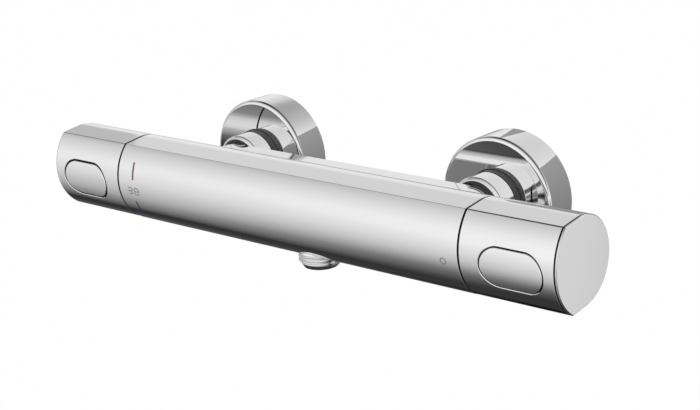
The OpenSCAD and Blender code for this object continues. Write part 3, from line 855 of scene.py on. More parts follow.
@dataclass
class Casing:
    """The bar's casing with the rail behind it.

    Attributes:
        section: Its section, whose underside is steeper than the knobs'.
        length: The casing's length.
        wall: Its wall.
        rim: The rounding of its end rims.
        skin: How far its skin lies inside the nominal one, which leaves room for the printed marks.
        neck_hole: The radius of the holes for the necks.
        outlet_hole: The radius of the hole for the outlet.
        outlet_x: Where the outlet is along the bar.
        rail_radius: The rail's half height, and the radius of its ends.
        rail_front: Where the rail starts along y.
        rail_back: Where its back face is.
        rail_edge: The rounding of the back face's edge.
    """

    section: Section = field(default_factory=lambda: Section(under=5.3))
    length: float = 211.0
    wall: float = 2.2
    rim: float = 0.3
    skin: float = 0.03
    neck_hole: float = 11.65
    outlet_hole: float = 10.9
    outlet_x: float = 8.0
    rail_radius: float = 11.55
    rail_front: float = 6.0
    rail_back: float = 30.8
    rail_edge: float = 0.4

    def build(self) -> list[Object]:
        """Build the casing and the rail."""
        return [self.tube(), self.rail()]

    def tube(self) -> Object:
        """Build the D-shaped tube, drilled for the necks and the outlet."""
        half = self.length / 2
        shell = self.section.tube(self.wall, -half, half, self.rim, self.skin)
        drills = [rod(self.neck_hole, Vector((x, 5, 0)), Vector((x, 30, 0)))
                  for x in (-INLET_X, INLET_X)]
        below = Vector((self.outlet_x, 0, -30))
        drills.append(rod(self.outlet_hole, below, below + Vector((0, 0, 21))))
        for drill in drills:
            bmesh.ops.transform(drill, matrix=SLOPE.inverted(), verts=drill.verts)
        shell = work(shell, drills)
        return Piece("bar_casing", shell, SLOPED, "valve", "chrome_bar", [BAR_CHROME, PAINTED_GAP_SHADE],
                     ["body_casing"], self.section.skins(self.skin)).settle()

    def rail(self) -> Object:
        """Build the rail with round ends that links the two necks."""
        bm = bmesh.new()
        outline = Slotted(2 * (INLET_X + self.rail_radius), 2 * self.rail_radius, 0.0, self.section)
        front = outline.loop(bm, 0.0, self.rail_front, True)
        back = outline.loop(bm, 0.0, self.rail_back, True)
        loft(bm, [front, back])
        ease(bm, back, self.rail_edge, 4)
        bite = self.section.bar(-0.05, -self.length / 2, self.length / 2)
        bmesh.ops.transform(bite, matrix=SLOPE, verts=bite.verts)
        bm = work(bm, [bite])
        return Piece("rear_rail_cover", bm, AT_BAR, "valve", "chrome_bar", [BAR_CHROME], ["rear_rail"],
                     flat_over=40.0).settle()


@dataclass
class Pen:
    """A pen that draws a flat stroke by pushing and turning one short edge in the XZ plane.

    Attributes:
        bm: The mesh being made.
        width: The stroke's width.
        at: Where the stroke's middle is.
        heading: The direction that it goes, in radians from +x towards +z.
        edge: The short edge, once it is put down.
    """

    bm: BMesh
    width: float
    at: Vector
    heading: float
    edge: BMEdge | None = None

    def ahead(self) -> Vector:
        """Give the direction in which the pen goes."""
        return Vector((math.cos(self.heading), 0.0, math.sin(self.heading)))

    def start(self) -> None:
        """Put the edge down across the heading."""
        side = Vector((-math.sin(self.heading), 0.0, math.cos(self.heading))) * self.width / 2
        self.edge = self.bm.edges.new([self.bm.verts.new(self.at + way) for way in (side, -side)])

    def go(self, length: float) -> "Pen":
        """Draw straight ahead."""
        if self.edge is None:
            self.start()
        made = bmesh.ops.extrude_edge_only(self.bm, edges=[self.edge])["geom"]
        verts = [part for part in made if isinstance(part, BMVert)]
        bmesh.ops.translate(self.bm, vec=self.ahead() * length, verts=verts)
        self.edge = next(part for part in made if isinstance(part, BMEdge)
                         and all(vert in verts for vert in part.verts))
        self.at = self.at + self.ahead() * length
        return self

    def bend(self, radius: float, degrees: float) -> "Pen":
        """Draw a bend, to the left where the angle is positive."""
        if self.edge is None:
            self.start()
        turn = math.radians(degrees)
        side = Vector((-math.sin(self.heading), 0.0, math.cos(self.heading)))
        centre = self.at + side * math.copysign(radius, turn)
        made = bmesh.ops.spin(self.bm, geom=[self.edge], cent=centre, axis=Y_AXIS, dvec=(0, 0, 0),
                              angle=-turn, steps=max(3, int(abs(degrees) / 15)), use_merge=False,
                              use_duplicate=False)
        self.edge = next(part for part in made["geom_last"] if isinstance(part, BMEdge))
        self.at = centre + Matrix.Rotation(-turn, 3, "Y") @ (self.at - centre)
        self.heading += turn
        return self


@dataclass
class Marks:
    """The printed marks on the casing's front arc: two lines, a number and a small ring.

    Attributes:
        section: The section whose front arc carries them.
        film: The ink's thickness.
        sunk: How far the film starts under the nominal arc, on the casing's skin.
        line_steps: How many straight steps a line has on its way round the arc.
        line_width: The width of the two lines.
        red_x: Where the red line is along the bar.
        red_arc: The angles at which it starts and ends, up from the section's middle.
        blue_x: Where the blue line is.
        blue_arc: The angles at which it starts and ends.
        digit_height: The height of the number.
        digit_width: The width of one digit.
        digit_space: The space between its digits.
        digit_low: How far its middle lies below the section's middle.
        stroke: The width of its strokes.
        number_x: Where the number starts.
        ring_x: Where the ring is.
        ring_low: How far the ring's middle lies below the section's middle.
        ring_across: The ring's outer diameter.
    """

    section: Section = field(default_factory=Section)
    film: float = 0.02
    sunk: float = 0.025
    line_steps: int = 12
    line_width: float = 1.1
    red_x: float = -94.9
    red_arc: tuple[float, float] = (12.0, 32.5)
    blue_x: float = -95.9
    blue_arc: tuple[float, float] = (-33.6, -15.0)
    digit_height: float = 3.9
    digit_width: float = 3.5
    digit_space: float = 1.0
    digit_low: float = 0.6
    stroke: float = 0.5
    number_x: float = -99.3
    ring_x: float = 97.8
    ring_low: float = 1.7
    ring_across: float = 3.3

    def build(self) -> list[Object]:
        """Build the four marks."""
        radius = self.section.front_radius
        marks = []
        for name, ink, x, (low, high) in (("red_line", RED_INK, self.red_x, self.red_arc),
                                          ("blue_line", BLUE_INK, self.blue_x, self.blue_arc)):
            bm = bmesh.new()
            low, high = math.radians(low) * radius, math.radians(high) * radius
            pen = Pen(bm, self.line_width, Vector((x, 0, low)), math.pi / 2)
            for _ in range(self.line_steps):
                pen.go((high - low) / self.line_steps)
            marks.append(self.print_on(bm, name, ink))
        bm = bmesh.new()
        self.draw_number(bm)
        marks.append(self.print_on(bm, "number_38", GREY_INK))
        bm = bmesh.new()
        across = self.ring_across / 2 - self.stroke / 2
        Pen(bm, self.stroke, Vector((self.ring_x, 0, -self.ring_low - across)), 0.0).bend(across, 360)
        marks.append(self.print_on(bm, "off_ring", GREY_INK))
        return marks

    def draw_number(self, bm: BMesh) -> None:
        """Draw the number 38 with square round-cornered digits."""
        width, height = self.digit_width - self.stroke, self.digit_height - self.stroke
        bow = height / 4
        left = self.number_x + self.stroke / 2
        foot = self.stroke / 2 - self.digit_low - self.digit_height / 2
        for half in (0, 1):
            start = Vector((left, 0, foot + half * height / 2))
            pen = Pen(bm, self.stroke, start, 0.0)
            pen.go(width - bow).bend(bow, 180).go(width - bow if half else (width - bow) * 0.7)
        left += self.digit_width + self.digit_space
        for half in (0, 1):
            pen = Pen(bm, self.stroke, Vector((left + bow, 0, foot + half * height / 2)), 0.0)
            pen.go(width - 2 * bow).bend(bow, 180).go(width - 2 * bow).bend(bow, 180)

    def print_on(self, bm: BMesh, name: str, ink: PrintedInk) -> Object:
        """Wrap a flat drawing on the front arc and give it the ink's thickness.

        Args:
            bm: The drawing, with its height along z.
            name: The mark's name.
            ink: Its ink.

        Returns:
            The mark's object.
        """
        bmesh.ops.remove_doubles(bm, verts=bm.verts, dist=1e-3)
        radius = self.section.front_radius - self.sunk
        for vert in bm.verts:
            turn = vert.co.z / self.section.front_radius
            vert.co.y = self.section.front_centre - radius * math.cos(turn)
            vert.co.z = radius * math.sin(turn)
        made = bmesh.ops.extrude_face_region(bm, geom=bm.faces[:])["geom"]
        for vert in (part for part in made if isinstance(part, BMVert)):
            out = Vector((0, vert.co.y - self.section.front_centre, vert.co.z))
            vert.co += out.normalized() * self.film
        return Piece(name, bm, SLOPED, "valve", "chrome_bar", [ink], (),
                     [Round(self.section.front_centre, 0.0, radius + self.film)]).settle()


@dataclass
class Knob:
    """One end of the bar: a knob's shell, its end cap and its button; the front is where y is negative.

    Attributes:
        end: Which end it is for.
        prefix: How its nodes' names start.
        body: The body of its shell and cap.
        button_body: The body of its button.
        section: Its section, with the crease's rounding.
        start: Where the shell starts along x.
        stop: Where it ends.
        wall: Its wall.
        rim: The rounding of its rims.
        reach: Where the end face is.
        cap: The cap's thickness.
        bevel: The bevel round the end face.
        plug: The depth of the rim inside the shell.
        plate: The thickness of the plate inside the shell.
        button_gap: The gap round the button.
        chamber: How deep the opening is cut, as a y.
        mouth: The chamfer round the button's opening.
        button_edge: The rounding of the button's edge.
        flange: How far the button's inner flange stands out.
        flange_back: The y of the flange's back.
        pin_radius: The radius of the button's four guide pins.
        pin_at: How far the pins stand from the button's middle, along x and across.
        pin_end: The y of the pins' ends.
        button_length: The button's length.
        button_height: Its height.
        button_x: Its middle along x.
    """

    end: End
    prefix: str
    body: str
    button_body: str
    section: Section = field(default_factory=lambda: Section(crease=1.4))
    start: float = 106.5
    stop: float = 153.3
    wall: float = 2.0
    rim: float = 0.22
    reach: float = 154.5
    cap: float = 0.5
    bevel: float = 0.45
    plug: float = 3.0
    plate: float = 1.4
    button_gap: float = 0.75
    chamber: float = -12.0
    mouth: float = 0.25
    button_edge: float = 0.4
    flange: float = 1.2
    flange_back: float = -17.0
    pin_radius: float = 1.45
    pin_at: tuple[float, float] = (10.0, 5.5)
    pin_end: float = -10.2
    button_length: float = 31.0
    button_height: float = 17.5
    button_x: float = 132.0

    def outline(self) -> Slotted:
        """Give the button's outline."""
        return Slotted(self.button_length, self.button_height, self.button_x, self.section)

    def piece(self, name: str, bm: BMesh, body: str, slot: str, finishes: Sequence[Finish],
              node: str) -> Object:
        """Settle one piece at this end; its name and its node's come after the prefix."""
        return Piece(self.prefix + name, bm, self.end.place(SLOPED), body, slot, finishes,
                     [self.prefix + node], self.section.skins()).settle()

    def build(self) -> list[Object]:
        """Build the shell, the cap and the button."""
        return [self.shell(), self.end_cap(), self.button()]

    def shell(self) -> Object:
        """Build the shell, with the button's opening in its front."""
        shell = self.section.tube(self.wall, self.start, self.stop, self.rim)
        tool = bmesh.new()
        outline = self.outline()
        gap = self.button_gap
        rows = [(gap, self.chamber, True), (gap, self.mouth, False), (gap + self.mouth, 0.0, False),
                (gap + 4 * self.mouth, -3 * self.mouth, False), (gap + 4 * self.mouth, -30.0, True)]
        loft(tool, [outline.loop(tool, *row) for row in rows])
        shell = work(shell, [tool])
        # Painted shade on the opening's walls below its chamfer, so that the gap round the button looks
        # dark.
        around = self.button_length / 2 + 1.5
        paint_gap_shade(shell, lambda middle, face: face.material_index == 1 or (
            middle.y < self.chamber and self.section.under_front(middle) > self.mouth + 0.1
            and abs(middle.x - self.button_x) < around))
        return self.piece("_knob_shell", shell, self.body, "chrome_knob", [KNOB_CHROME, PAINTED_GAP_SHADE],
                          "_knob")

    def end_cap(self) -> Object:
        """Build the end cap: a bevelled plate with a rim that plugs into the shell."""
        back = self.reach - self.cap
        bm = bmesh.new()
        outer = self.wall + 0.05
        inner = self.wall + 1.6
        rows = [(inner, back - self.plate), (inner, back - self.plug), (outer, back - self.plug),
                (outer, back), (0.0, back), (0.0, self.reach - self.bevel), (self.bevel, self.reach)]
        loops = [self.section.loop(bm, inset, along) for inset, along in rows]
        loft(bm, loops)
        ease(bm, loops[-1], 0.12, 2)
        return self.piece("_knob_cap", bm, self.body, "satin_cap", [CAP_CHROME], "_end_cap")

    def button(self) -> Object:
        """Build the button: a face flush with the arc, an inner flange and four guide pins."""
        bm = bmesh.new()
        outline = self.outline()
        inner = self.wall + 0.3
        edge = self.button_edge
        rows = [(self.flange, self.flange_back, True), (self.flange, inner, False), (0.0, inner, False),
                (0.0, edge, False), (-0.08 * edge, 0.62 * edge, False),
                (-0.3 * edge, 0.29 * edge, False), (-0.62 * edge, 0.08 * edge, False), (-edge, 0.0, False)]
        rows += [(-float(step), 0.0, False) for step in range(1, 9)]
        loft(bm, [outline.loop(bm, *row) for row in rows])
        along, across = self.pin_at
        for x in (self.button_x - along, self.button_x + along):
            for z in (-across, across):
                pin = rod(self.pin_radius, Vector((x, self.flange_back - 0.5, z)),
                          Vector((x, self.pin_end, z)), 32)
                held = bpy.data.meshes.new("pin")
                pin.to_mesh(held)
                pin.free()
                bm.from_mesh(held)
                bpy.data.meshes.remove(held)
        # Painted shade on the sides, flange and pins below the rounded edge, so that the gap round the
        # button looks dark.
        paint_gap_shade(bm, lambda middle, face: self.section.under_front(middle) > edge + 0.05)
        return self.piece("_press_button", bm, self.button_body, "chrome_button",
                          [KNOB_CHROME, PAINTED_GAP_SHADE], "_button")


@dataclass
class WallFitting:
    """What joins the bar to the wall at one inlet: a union nut, an eccentric union and a rose.

    Attributes:
        side: Which inlet it is for.
        water: Its water, as its nodes' names start.
        drop: How far the wall thread lies below the bar's axis.
        nut_radius: The nut's radius.
        nut_start: Where it starts behind the bar's axis.
        nut_end: Where it ends.
        nut_chamfer: The chamfer round its front.
        neck_bore: The radius of its hole for the neck.
        thread_bore: The radius of its threaded part.
        collar: Where the threaded part starts.
        tail_radius: The radius of the union's part in the nut.
        tail: Where that part starts and ends.
        tail_bore: The radius of its bore.
        spanner: Half the spanner hexagon's width over its corners.
        spanner_depth: The hexagon's depth.
        spanner_at: The middle of its depth.
        wall_thread: The wall thread's radius.
        wall_start: Where its collar starts.
        wall_collar: Where its collar ends.
        wall_end: Where the thread ends.
        key_bore: The radius of the bore in it.
        rose_radius: The rose's radius.
        rose_start: Where its front face is.
        rose_depth: Its depth.
        rose_wall: Its wall.
        rose_hole: The radius of the hole in its front.
        rose_lip: The rounding of its lip.
    """

    side: End
    water: str
    drop: float = 8.0
    nut_radius: float = 14.6
    nut_start: float = 32.5
    nut_end: float = 43.7
    nut_chamfer: float = 1.3
    neck_bore: float = 11.6
    thread_bore: float = 13.25
    collar: float = 36.3
    tail_radius: float = 13.2
    tail: tuple[float, float] = (41.0, 55.0)
    tail_bore: float = 8.0
    spanner: float = 20.5
    spanner_depth: float = 4.5
    spanner_at: float = 56.25
    wall_thread: float = 10.48
    wall_start: float = 57.0
    wall_collar: float = 63.6
    wall_end: float = 80.6
    key_bore: float = 7.0
    rose_radius: float = 30.1
    rose_start: float = 47.4
    rose_depth: float = 18.2
    rose_wall: float = 1.3
    rose_hole: float = 15.0
    rose_lip: float = 1.9

    def place(self) -> Matrix:
        """Give the matrix that puts a turned piece on its inlet."""
        return AT_BAR @ Matrix.Translation((self.side.value * INLET_X, 0, 0))

    def piece(self, name: str, bm: BMesh, slot: str, finishes: Sequence[Finish], node: str,
              **how: Any) -> Object:
        """Settle one piece of this fitting; its name and its node's come after the water's."""
        return Piece(self.water + name, bm, self.place(), "valve", slot, finishes, [self.water + node],
                     **how).settle()

    def build(self) -> list[Object]:
        """Build the nut, the union and the rose."""
        return [self.nut(), self.union(), self.rose()]

    def nut(self) -> Object:
        """Build the smooth round nut."""
        front = self.nut_radius - self.nut_chamfer
        shoulder = self.nut_start + self.nut_chamfer
        bm = turned([(self.neck_bore, self.nut_start), (front, self.nut_start), (self.nut_radius, shoulder),
                     (self.nut_radius, self.nut_end), (self.thread_bore, self.nut_end),
                     (self.thread_bore, self.collar), (self.neck_bore, self.collar)])
        ease(bm, rings(bm, front, self.nut_start), 0.25)
        ease(bm, rings(bm, self.nut_radius, shoulder), 0.3)
        ease(bm, rings(bm, self.nut_radius, self.nut_end), 0.5)
        # Painted shade in the bore behind the front rim, where the gap over the neck looks dark.
        paint_gap_shade(bm, lambda middle, face: math.hypot(middle.x, middle.z) < front - 0.2
               and middle.y < self.nut_end - 0.1)
        return self.piece("_nut", bm, "chrome_fitting", [FITTING_CHROME, PAINTED_GAP_SHADE], "_union_nut",
                          lathed=True)

    def union(self) -> Object:
        """Build the eccentric union: the nut's thread, a spanner hexagon and the lower wall thread."""
        low = Vector((0, 0, -self.drop))
        bore = 5.0
        collar = self.neck_bore
        wall = turned([(bore, self.wall_start), (collar, self.wall_start), (collar, self.wall_collar),
                       (self.wall_thread, self.wall_collar), (self.wall_thread, self.wall_end),
                       (bore, self.wall_end)], 96, (4, 130))
        Thread(self.wall_thread, self.wall_collar + 0.4, self.wall_end).cut(wall)
        bmesh.ops.translate(wall, vec=low, verts=wall.verts)
        front, back = (Vector((0, y, 0)) for y in self.tail)
        head = rod(self.tail_radius, front, back)
        spanner = bmesh.new()
        turn = Matrix.Rotation(math.pi / 2, 4, "X") @ Matrix.Rotation(math.pi / 6, 4, "Z")
        middle = Matrix.Translation((0, self.spanner_at, -self.drop / 2))
        bmesh.ops.create_cone(spanner, cap_ends=True, segments=6, radius1=self.spanner,
                              radius2=self.spanner, depth=self.spanner_depth, matrix=middle @ turn)
        ease(spanner, spanner.edges, 0.35, 2)
        body = work(head, [spanner, wall], Cut.JOIN)
        bores = [rod(self.tail_bore, front - Vector(Y_AXIS), Vector((0, 56.5, 0))),
                 rod(self.key_bore, low + Vector((0, 55.5, 0)), low + Vector((0, 82, 0)))]
        return self.piece("_union", work(body, bores), "chrome_fitting", [FITTING_CHROME], "_s_union",
                          flat_over=60.0)

    def rose(self) -> Object:
        """Build the cup-shaped wall rose with its rounded lip."""
        start, end = self.rose_start, self.rose_start + self.rose_depth
        outer, inner = self.rose_radius, self.rose_radius - self.rose_wall
        bm = turned([(self.rose_hole, start), (outer, start), (outer, end), (inner, end),
                     (inner, start + self.rose_wall), (self.rose_hole, start + self.rose_wall)], 160)
        ease(bm, rings(bm, outer, start), self.rose_lip, 8)
        ease(bm, rings(bm, outer, end), 0.25)
        ease(bm, rings(bm, self.rose_hole, start), 0.3)
        return self.piece("_rose", bm, "chrome_rose", [ROSE_CHROME], "_wall_rose", lathed=True)


@dataclass
class Outlet:
    """The threaded hose outlet below the bar.

    Attributes:
        x: Where it is along the bar.
        radius: The thread's radius.
        low: Its lower end below the axis.
        chamfer: The chamfer round its lower end.
        thread_top: Where the full thread starts below the axis.
        neck_low: Where the neck ends.
        neck: The neck's radius.
        top: Where the neck starts.
        stem: The radius of the stem that plugs into the core.
        stem_top: Where the stem starts.
        bore: The radius of its bore.
    """

    x: float = 8.0
    radius: float = 10.48
    low: float = 29.5
    chamfer: float = 2.4
    thread_top: float = 21.8
    neck_low: float = 21.0
    neck: float = 10.2
    top: float = 14.9
    stem: float = 8.9
    stem_top: float = 9.0
    bore: float = 6.4

    def build(self) -> list[Object]:
        """Build the nipple, turned upside down about its own axis."""
        end = self.low - self.chamfer
        bm = turned([(self.bore, self.low), (self.bore, self.stem_top), (self.stem, self.stem_top),
                     (self.stem, self.top), (self.neck, self.top), (self.neck, self.neck_low),
                     (self.radius, self.thread_top), (self.radius, end),
                     (self.radius - self.chamfer, self.low)], 128, (7, 70))
        Thread(self.radius, self.neck_low, end + 1.8, depth=1.15).cut(bm)
        place = AT_BAR @ Matrix.Translation((self.x, 0, 0)) @ Matrix.Rotation(-math.pi / 2, 4, "X")
        return [Piece("hose_thread", bm, place, "valve", "chrome_fitting", [FITTING_CHROME],
                      ["outlet_nipple"], lathed=True).settle()]


@dataclass
class InnerWorks:
    """The nodes that are shown as they are, each with its finish."""

    finishes: dict[Finish, tuple[str, ...]] = field(default_factory=lambda: {
        BARE_BRASS: ("waterway",),
        CARTRIDGE_BRASS: ("thermostat_housing", "wax_element", "temp_spindle", "flow_headpart",
                          "flow_spindle"),
        STEEL: ("nut_snap_rings", "inlet_strainers", "hot_check_spring", "cold_check_spring",
                "overload_spring", "return_spring", "temp_knob_screw", "flow_knob_screw",
                "temp_button_spring", "flow_button_spring"),
        BLACK_ACETAL: ("left_end_ring", "right_end_ring", "mixing_piston", "drive_nut", "temp_stop_ring",
                       "flow_stop_ring", "temp_adapter", "flow_adapter"),
        WHITE_ACETAL: ("hot_check_housing", "cold_check_housing", "hot_check_poppet", "cold_check_poppet"),
        CERAMIC: ("fixed_disc", "moving_disc"),
        RUBBER: ("outlet_seal", "rose_grip_rings", "thermostat_seals", "temp_spindle_seal",
                 "headpart_seal", "seat_seal", "flow_spindle_seal"),
        FIBRE: ("union_washers",),
    })

    def dress(self) -> None:
        """Give each carried-over node its finish."""
        for finish, names in self.finishes.items():
            for name in names:
                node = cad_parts[name]
                node.data.materials.clear()
                node.data.materials.append(finish.material())
                LOG.info("%s: %s", name, finish.name)


@dataclass
class Studio:
    """The camera, the soft light and the pale ground round the valve.

    Attributes:
        azimuth: The camera's turn to the right of the front, in degrees.
        elevation: Its height above the horizon, in degrees.
        roll: Its roll, in degrees.
        distance: From the point that it looks at, in millimetres.
        target: That point.
        lens: The focal length on a 36 mm wide sensor.
        near: The studio's tones for what the bar's near end shows, by the angle round the bar: 0 is in
            front, 90 above and 180 behind.
        far: The same for its far end.
        side: The same for what faces to the right.
        flag: By how much a flag behind the far end dims it, which the far knob's top shows.
        bar: Where the far end's tones pass into the near end's, by the x of the direction.
        right: Where they pass into the right side's.
        beyond: Where the flag starts.
        left: Where the left side starts.
        left_tone: Its one tone.
    """

    azimuth: float = 41.45
    elevation: float = 16.83
    roll: float = -3.02
    distance: float = 735.03
    target: tuple[float, float, float] = (10.31, -45.6, -5.10)
    lens: float = 79.68
    near: tuple[tuple[float, str], ...] = (
        (-180, "#8A8A8A"), (-152, "#747474"), (-137, "#454545"), (-131, "#0C0C0C"), (-124, "#0A0A0A"),
        (-117, "#363636"), (-88, "#373737"), (-72, "#565656"), (-63, "#6E6E6E"), (-54, "#949494"),
        (-39, "#CACACA"), (-24, "#E3E3E3"), (3, "#FFFFFF"), (18, "#FFFFFF"), (33, "#F6F6F6"),
        (63, "#D2D2D2"), (70, "#C0C0C0"), (80, "#3A3A3A"), (124, "#3A3A3A"), (137, "#A8A8A8"),
        (143, "#DADADA"), (155, "#ECECEC"), (168, "#F0F0F0"), (180, "#D2D2D2"))
    far: tuple[tuple[float, str], ...] = (
        (-180, "#DADADA"), (-150, "#6C6C6C"), (-114, "#3C3C3C"), (-100, "#303030"), (-96, "#444444"),
        (-66, "#9C9C9C"), (-57, "#B3B3B3"), (-18, "#E5E5E5"), (9, "#F7F7F7"), (21, "#F7F7F7"),
        (54, "#DADADA"), (72, "#BABABA"), (84, "#888888"), (126, "#A0A0A0"), (137, "#C4C4C4"),
        (143, "#DEDEDE"), (155, "#EEEEEE"), (168, "#F4F4F4"), (180, "#E6E6E6"))
    side: tuple[tuple[float, str], ...] = (
        (-180, "#FFFFFF"), (-172, "#F0F0F0"), (-150, "#E4E4E4"), (-138, "#9A9A9A"), (-120, "#3A3A3A"),
        (-95, "#3A3A3A"), (-70, "#8A8A8A"), (-40, "#D8D8D8"), (0, "#FFFFFF"), (40, "#F4F4F4"),
        (66, "#D0D0D0"), (78, "#6A6A6A"), (122, "#6A6A6A"), (134, "#B4B4B4"), (142, "#DCDCDC"),
        (158, "#FFFFFF"), (180, "#FFFFFF"))
    flag: tuple[tuple[float, str], ...] = (
        (-180, "#FFFFFF"), (131, "#FFFFFF"), (136, "#DFDFDF"), (151, "#DFDFDF"), (160, "#FFFFFF"),
        (180, "#FFFFFF"))
    bar: tuple[float, float] = (-0.725, -0.528)
    right: tuple[float, float] = (-0.35, 0.1)
    beyond: tuple[float, float] = (-0.737, -0.7376)
    left: tuple[float, float] = (-0.8, -0.88)
    left_tone: str = "#CACACA"

    def build(self) -> None:
        """Set up the camera, the world, the lamps and the ground."""
        self.camera()
        self.world()
        self.lamps()
        self.ground()
        self.card()

    def camera(self) -> None:
        """Put the camera where the photograph was taken from."""
        turn, rise, roll = (math.radians(angle) for angle in (self.azimuth, self.elevation, self.roll))
        level = math.cos(rise)
        back = Vector((math.sin(turn) * level, -math.cos(turn) * level, math.sin(rise)))
        right = (-back).cross(Vector(Z_AXIS)).normalized()
        up = right.cross(-back)
        axes = Matrix((right, up, back)).transposed() @ Matrix.Rotation(roll, 3, "Z")
        data = bpy.data.cameras.new("camera")
        data.lens = self.lens
        data.sensor_width = 36.0
        data.clip_start = 0.01
        data.clip_end = 50.0
        camera = bpy.data.objects.new("camera", data)
        stand = Matrix.Translation((Vector(self.target) + back * self.distance) * MM)
        camera.matrix_world = stand @ axes.to_4x4()
        bpy.context.scene.collection.objects.link(camera)
        bpy.context.scene.camera = camera

    def world(self) -> None:
        """Make the surroundings: white to the camera, grey to dull surfaces and a light tent to metal."""
        world = bpy.data.worlds.new("studio")
        world.use_nodes = True
        tree = world.node_tree
        tree.nodes.clear()
        place = add(tree, "ShaderNodeTexCoord")
        split = add(tree, "ShaderNodeSeparateXYZ", links={"Vector": place.outputs["Generated"]})
        front = add(tree, "ShaderNodeMath", {"operation": "MULTIPLY", 1: -1.0}, {0: split.outputs["Y"]})
        angle = add(tree, "ShaderNodeMath", {"operation": "ARCTAN2"},
                    {0: split.outputs["Z"], 1: front.outputs["Value"]})
        share = add(tree, "ShaderNodeMapRange", {"From Min": -math.pi, "From Max": math.pi},
                    {"Value": angle.outputs["Value"]})
        near, far, side, flag = (self.ramp(tree, share.outputs["Result"], tones)
                                 for tones in (self.near, self.far, self.side, self.flag))

        def blend(first: NodeSocket, second: Any, start: float, end: float,
                  kind: str = "MIX") -> NodeSocket:
            """Pass from one tone to another between two places along x."""
            along = add(tree, "ShaderNodeMapRange", {"From Min": start, "From Max": end},
                        {"Value": split.outputs["X"]})
            links = {"Factor": along.outputs["Result"], 6: first}
            settings = {"data_type": "RGBA", "blend_type": kind}
            (links if isinstance(second, NodeSocket) else settings)[7] = second
            return add(tree, "ShaderNodeMix", settings, links).outputs[2]

        tones = blend(blend(far, near, *self.bar), side, *self.right)
        tones = blend(blend(tones, flag, *self.beyond, "MULTIPLY"), linear(self.left_tone), *self.left)
        tent = add(tree, "ShaderNodeBackground", {"Strength": 1.0}, {"Color": tones})
        soft = add(tree, "ShaderNodeBackground", {"Color": linear("#C8C8C8"), "Strength": 1.0})
        white = add(tree, "ShaderNodeBackground", {"Color": (1, 1, 1, 1), "Strength": 1.0})
        path = add(tree, "ShaderNodeLightPath")
        seen = add(tree, "ShaderNodeMath", {"operation": "MAXIMUM"},
                   {0: path.outputs["Is Camera Ray"], 1: path.outputs["Is Transmission Ray"]})
        dull = add(tree, "ShaderNodeMixShader", links={
            "Fac": path.outputs["Is Glossy Ray"], 1: soft.outputs["Background"],
            2: tent.outputs["Background"]})
        whole = add(tree, "ShaderNodeMixShader", links={
            "Fac": seen.outputs["Value"], 1: dull.outputs["Shader"], 2: white.outputs["Background"]})
        add(tree, "ShaderNodeOutputWorld", links={"Surface": whole.outputs["Shader"]})
        bpy.context.scene.world = world

    def ramp(self, tree: NodeTree, share: NodeSocket,
             tones: Sequence[tuple[float, str]]) -> NodeSocket:
        """Make a ramp of tones by angle.

        Args:
            tree: The world's node tree.
            share: The angle as a share of the whole turn, from 0 to 1.
            tones: Hex codes by angle in degrees, from -180 to 180.

        Returns:
            The tone.
        """
        ramp = add(tree, "ShaderNodeValToRGB", links={"Fac": share})
        stops = ramp.color_ramp.elements
        for _ in range(len(tones) - 2):
            stops.new(0.5)
        for stop, (degrees, code) in zip(stops, tones):
            stop.position = (degrees + 180.0) / 360.0
            stop.color = linear(code)
        return ramp.outputs["Color"]

    def lamps(self) -> None:
        """Hang one broad soft box above the front and a weaker one on the left."""
        boxes = (("key", (0.5, -1.1, 1.3), 1.2, 14.0), ("fill", (-1.3, -0.7, 0.5), 1.0, 5.0))
        for name, spot, size, power in boxes:
            data = bpy.data.lights.new(name, "AREA")
            data.size = size
            data.energy = power
            lamp = bpy.data.objects.new(name, data)
            aim = (Vector((0, -AXIS_OUT * MM, 0)) - Vector(spot)).to_track_quat("-Z", "Y")
            lamp.matrix_world = Matrix.Translation(spot) @ aim.to_matrix().to_4x4()
            lamp.visible_glossy = False
            bpy.context.scene.collection.objects.link(lamp)

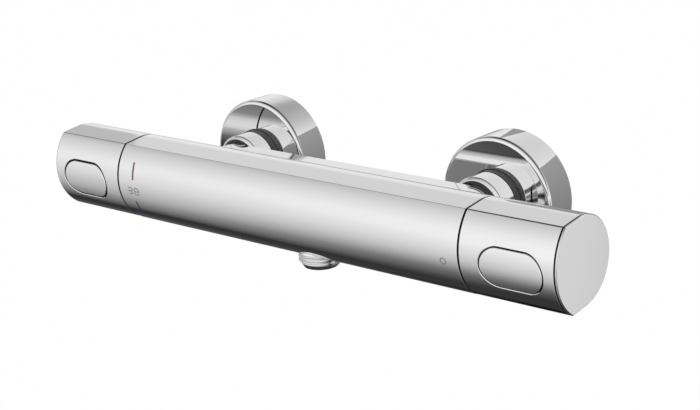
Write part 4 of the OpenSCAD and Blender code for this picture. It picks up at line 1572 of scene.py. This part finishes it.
    def ground(self) -> None:
        """Lay the pale floor at a shower's depth below the valve."""
        bm = bmesh.new()
        bmesh.ops.create_grid(bm, x_segments=1, y_segments=1, size=12.0,
                              matrix=Matrix.Translation((0, 0, -1.1)))
        floor = self.stage(bm, "floor")
        floor.visible_glossy = False
        made, tree = fresh("pale_floor")
        paint = add(tree, "ShaderNodeBsdfDiffuse", {"Color": linear("#F2F2F2")})
        glow = add(tree, "ShaderNodeEmission", {"Color": (1, 1, 1, 1), "Strength": 1.0})
        path = add(tree, "ShaderNodeLightPath")
        share = add(tree, "ShaderNodeMath", {"operation": "MULTIPLY", 1: 0.99},
                    {0: path.outputs["Is Camera Ray"]})
        mix = add(tree, "ShaderNodeMixShader", links={
            "Fac": share.outputs["Value"], 1: paint.outputs["BSDF"], 2: glow.outputs["Emission"]})
        add(tree, "ShaderNodeOutputMaterial", links={"Surface": mix.outputs["Shader"]})
        floor.data.materials.append(made)

    def card(self) -> None:
        """Stand the grey card behind the cold inlet that the roses' sides show."""
        bm = bmesh.new()
        bmesh.ops.create_grid(bm, x_segments=1, y_segments=1, size=0.5,
                              matrix=Matrix.Rotation(math.pi / 2, 4, "X"))
        bmesh.ops.scale(bm, vec=(0.23, 1.0, 0.4), verts=bm.verts)
        bmesh.ops.translate(bm, vec=(0.115, 0.100, -0.115), verts=bm.verts)
        card = self.stage(bm, "grey_card")
        for way in ("visible_camera", "visible_diffuse", "visible_shadow", "visible_transmission"):
            setattr(card, way, False)
        made, tree = fresh("grey_card")
        place = add(tree, "ShaderNodeTexCoord")
        split = add(tree, "ShaderNodeSeparateXYZ", links={"Vector": place.outputs["Object"]})
        tone = add(tree, "ShaderNodeMapRange",
                   {"From Min": -0.2, "From Max": 0.085, "To Min": 0.12, "To Max": 0.36},
                   {"Value": split.outputs["Z"]})
        glow = add(tree, "ShaderNodeEmission", {"Color": (1, 1, 1, 1)},
                   {"Strength": tone.outputs["Result"]})
        add(tree, "ShaderNodeOutputMaterial", links={"Surface": glow.outputs["Emission"]})
        card.data.materials.append(made)

    def stage(self, bm: BMesh, name: str) -> Object:
        """Put a mesh of the studio in an object of the scene."""
        held = hold(bm, name)
        return held


def main() -> None:
    """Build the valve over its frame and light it."""
    logging.basicConfig(level=logging.INFO, format="%(message)s")
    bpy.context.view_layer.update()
    scene = bpy.context.scene
    scene.view_settings.view_transform = "Standard"
    Studio().build()
    assemblies = [
        Casing(),
        Marks(),
        Knob(End.LEFT, "temp", "temperature_knob", "temperature_button", stop=153.95, button_gap=0.85),
        Knob(End.RIGHT, "flow", "flow_knob_group", "flow_stop_button", stop=153.1, button_gap=0.55),
        WallFitting(End.LEFT, "hot"),
        WallFitting(End.RIGHT, "cold"),
        Outlet(),
    ]
    for assembly in assemblies:
        made = assembly.build()
        LOG.info("%s: %d pieces", type(assembly).__name__, len(made))
    InnerWorks().dress()


if __name__ == "__main__":
    main()
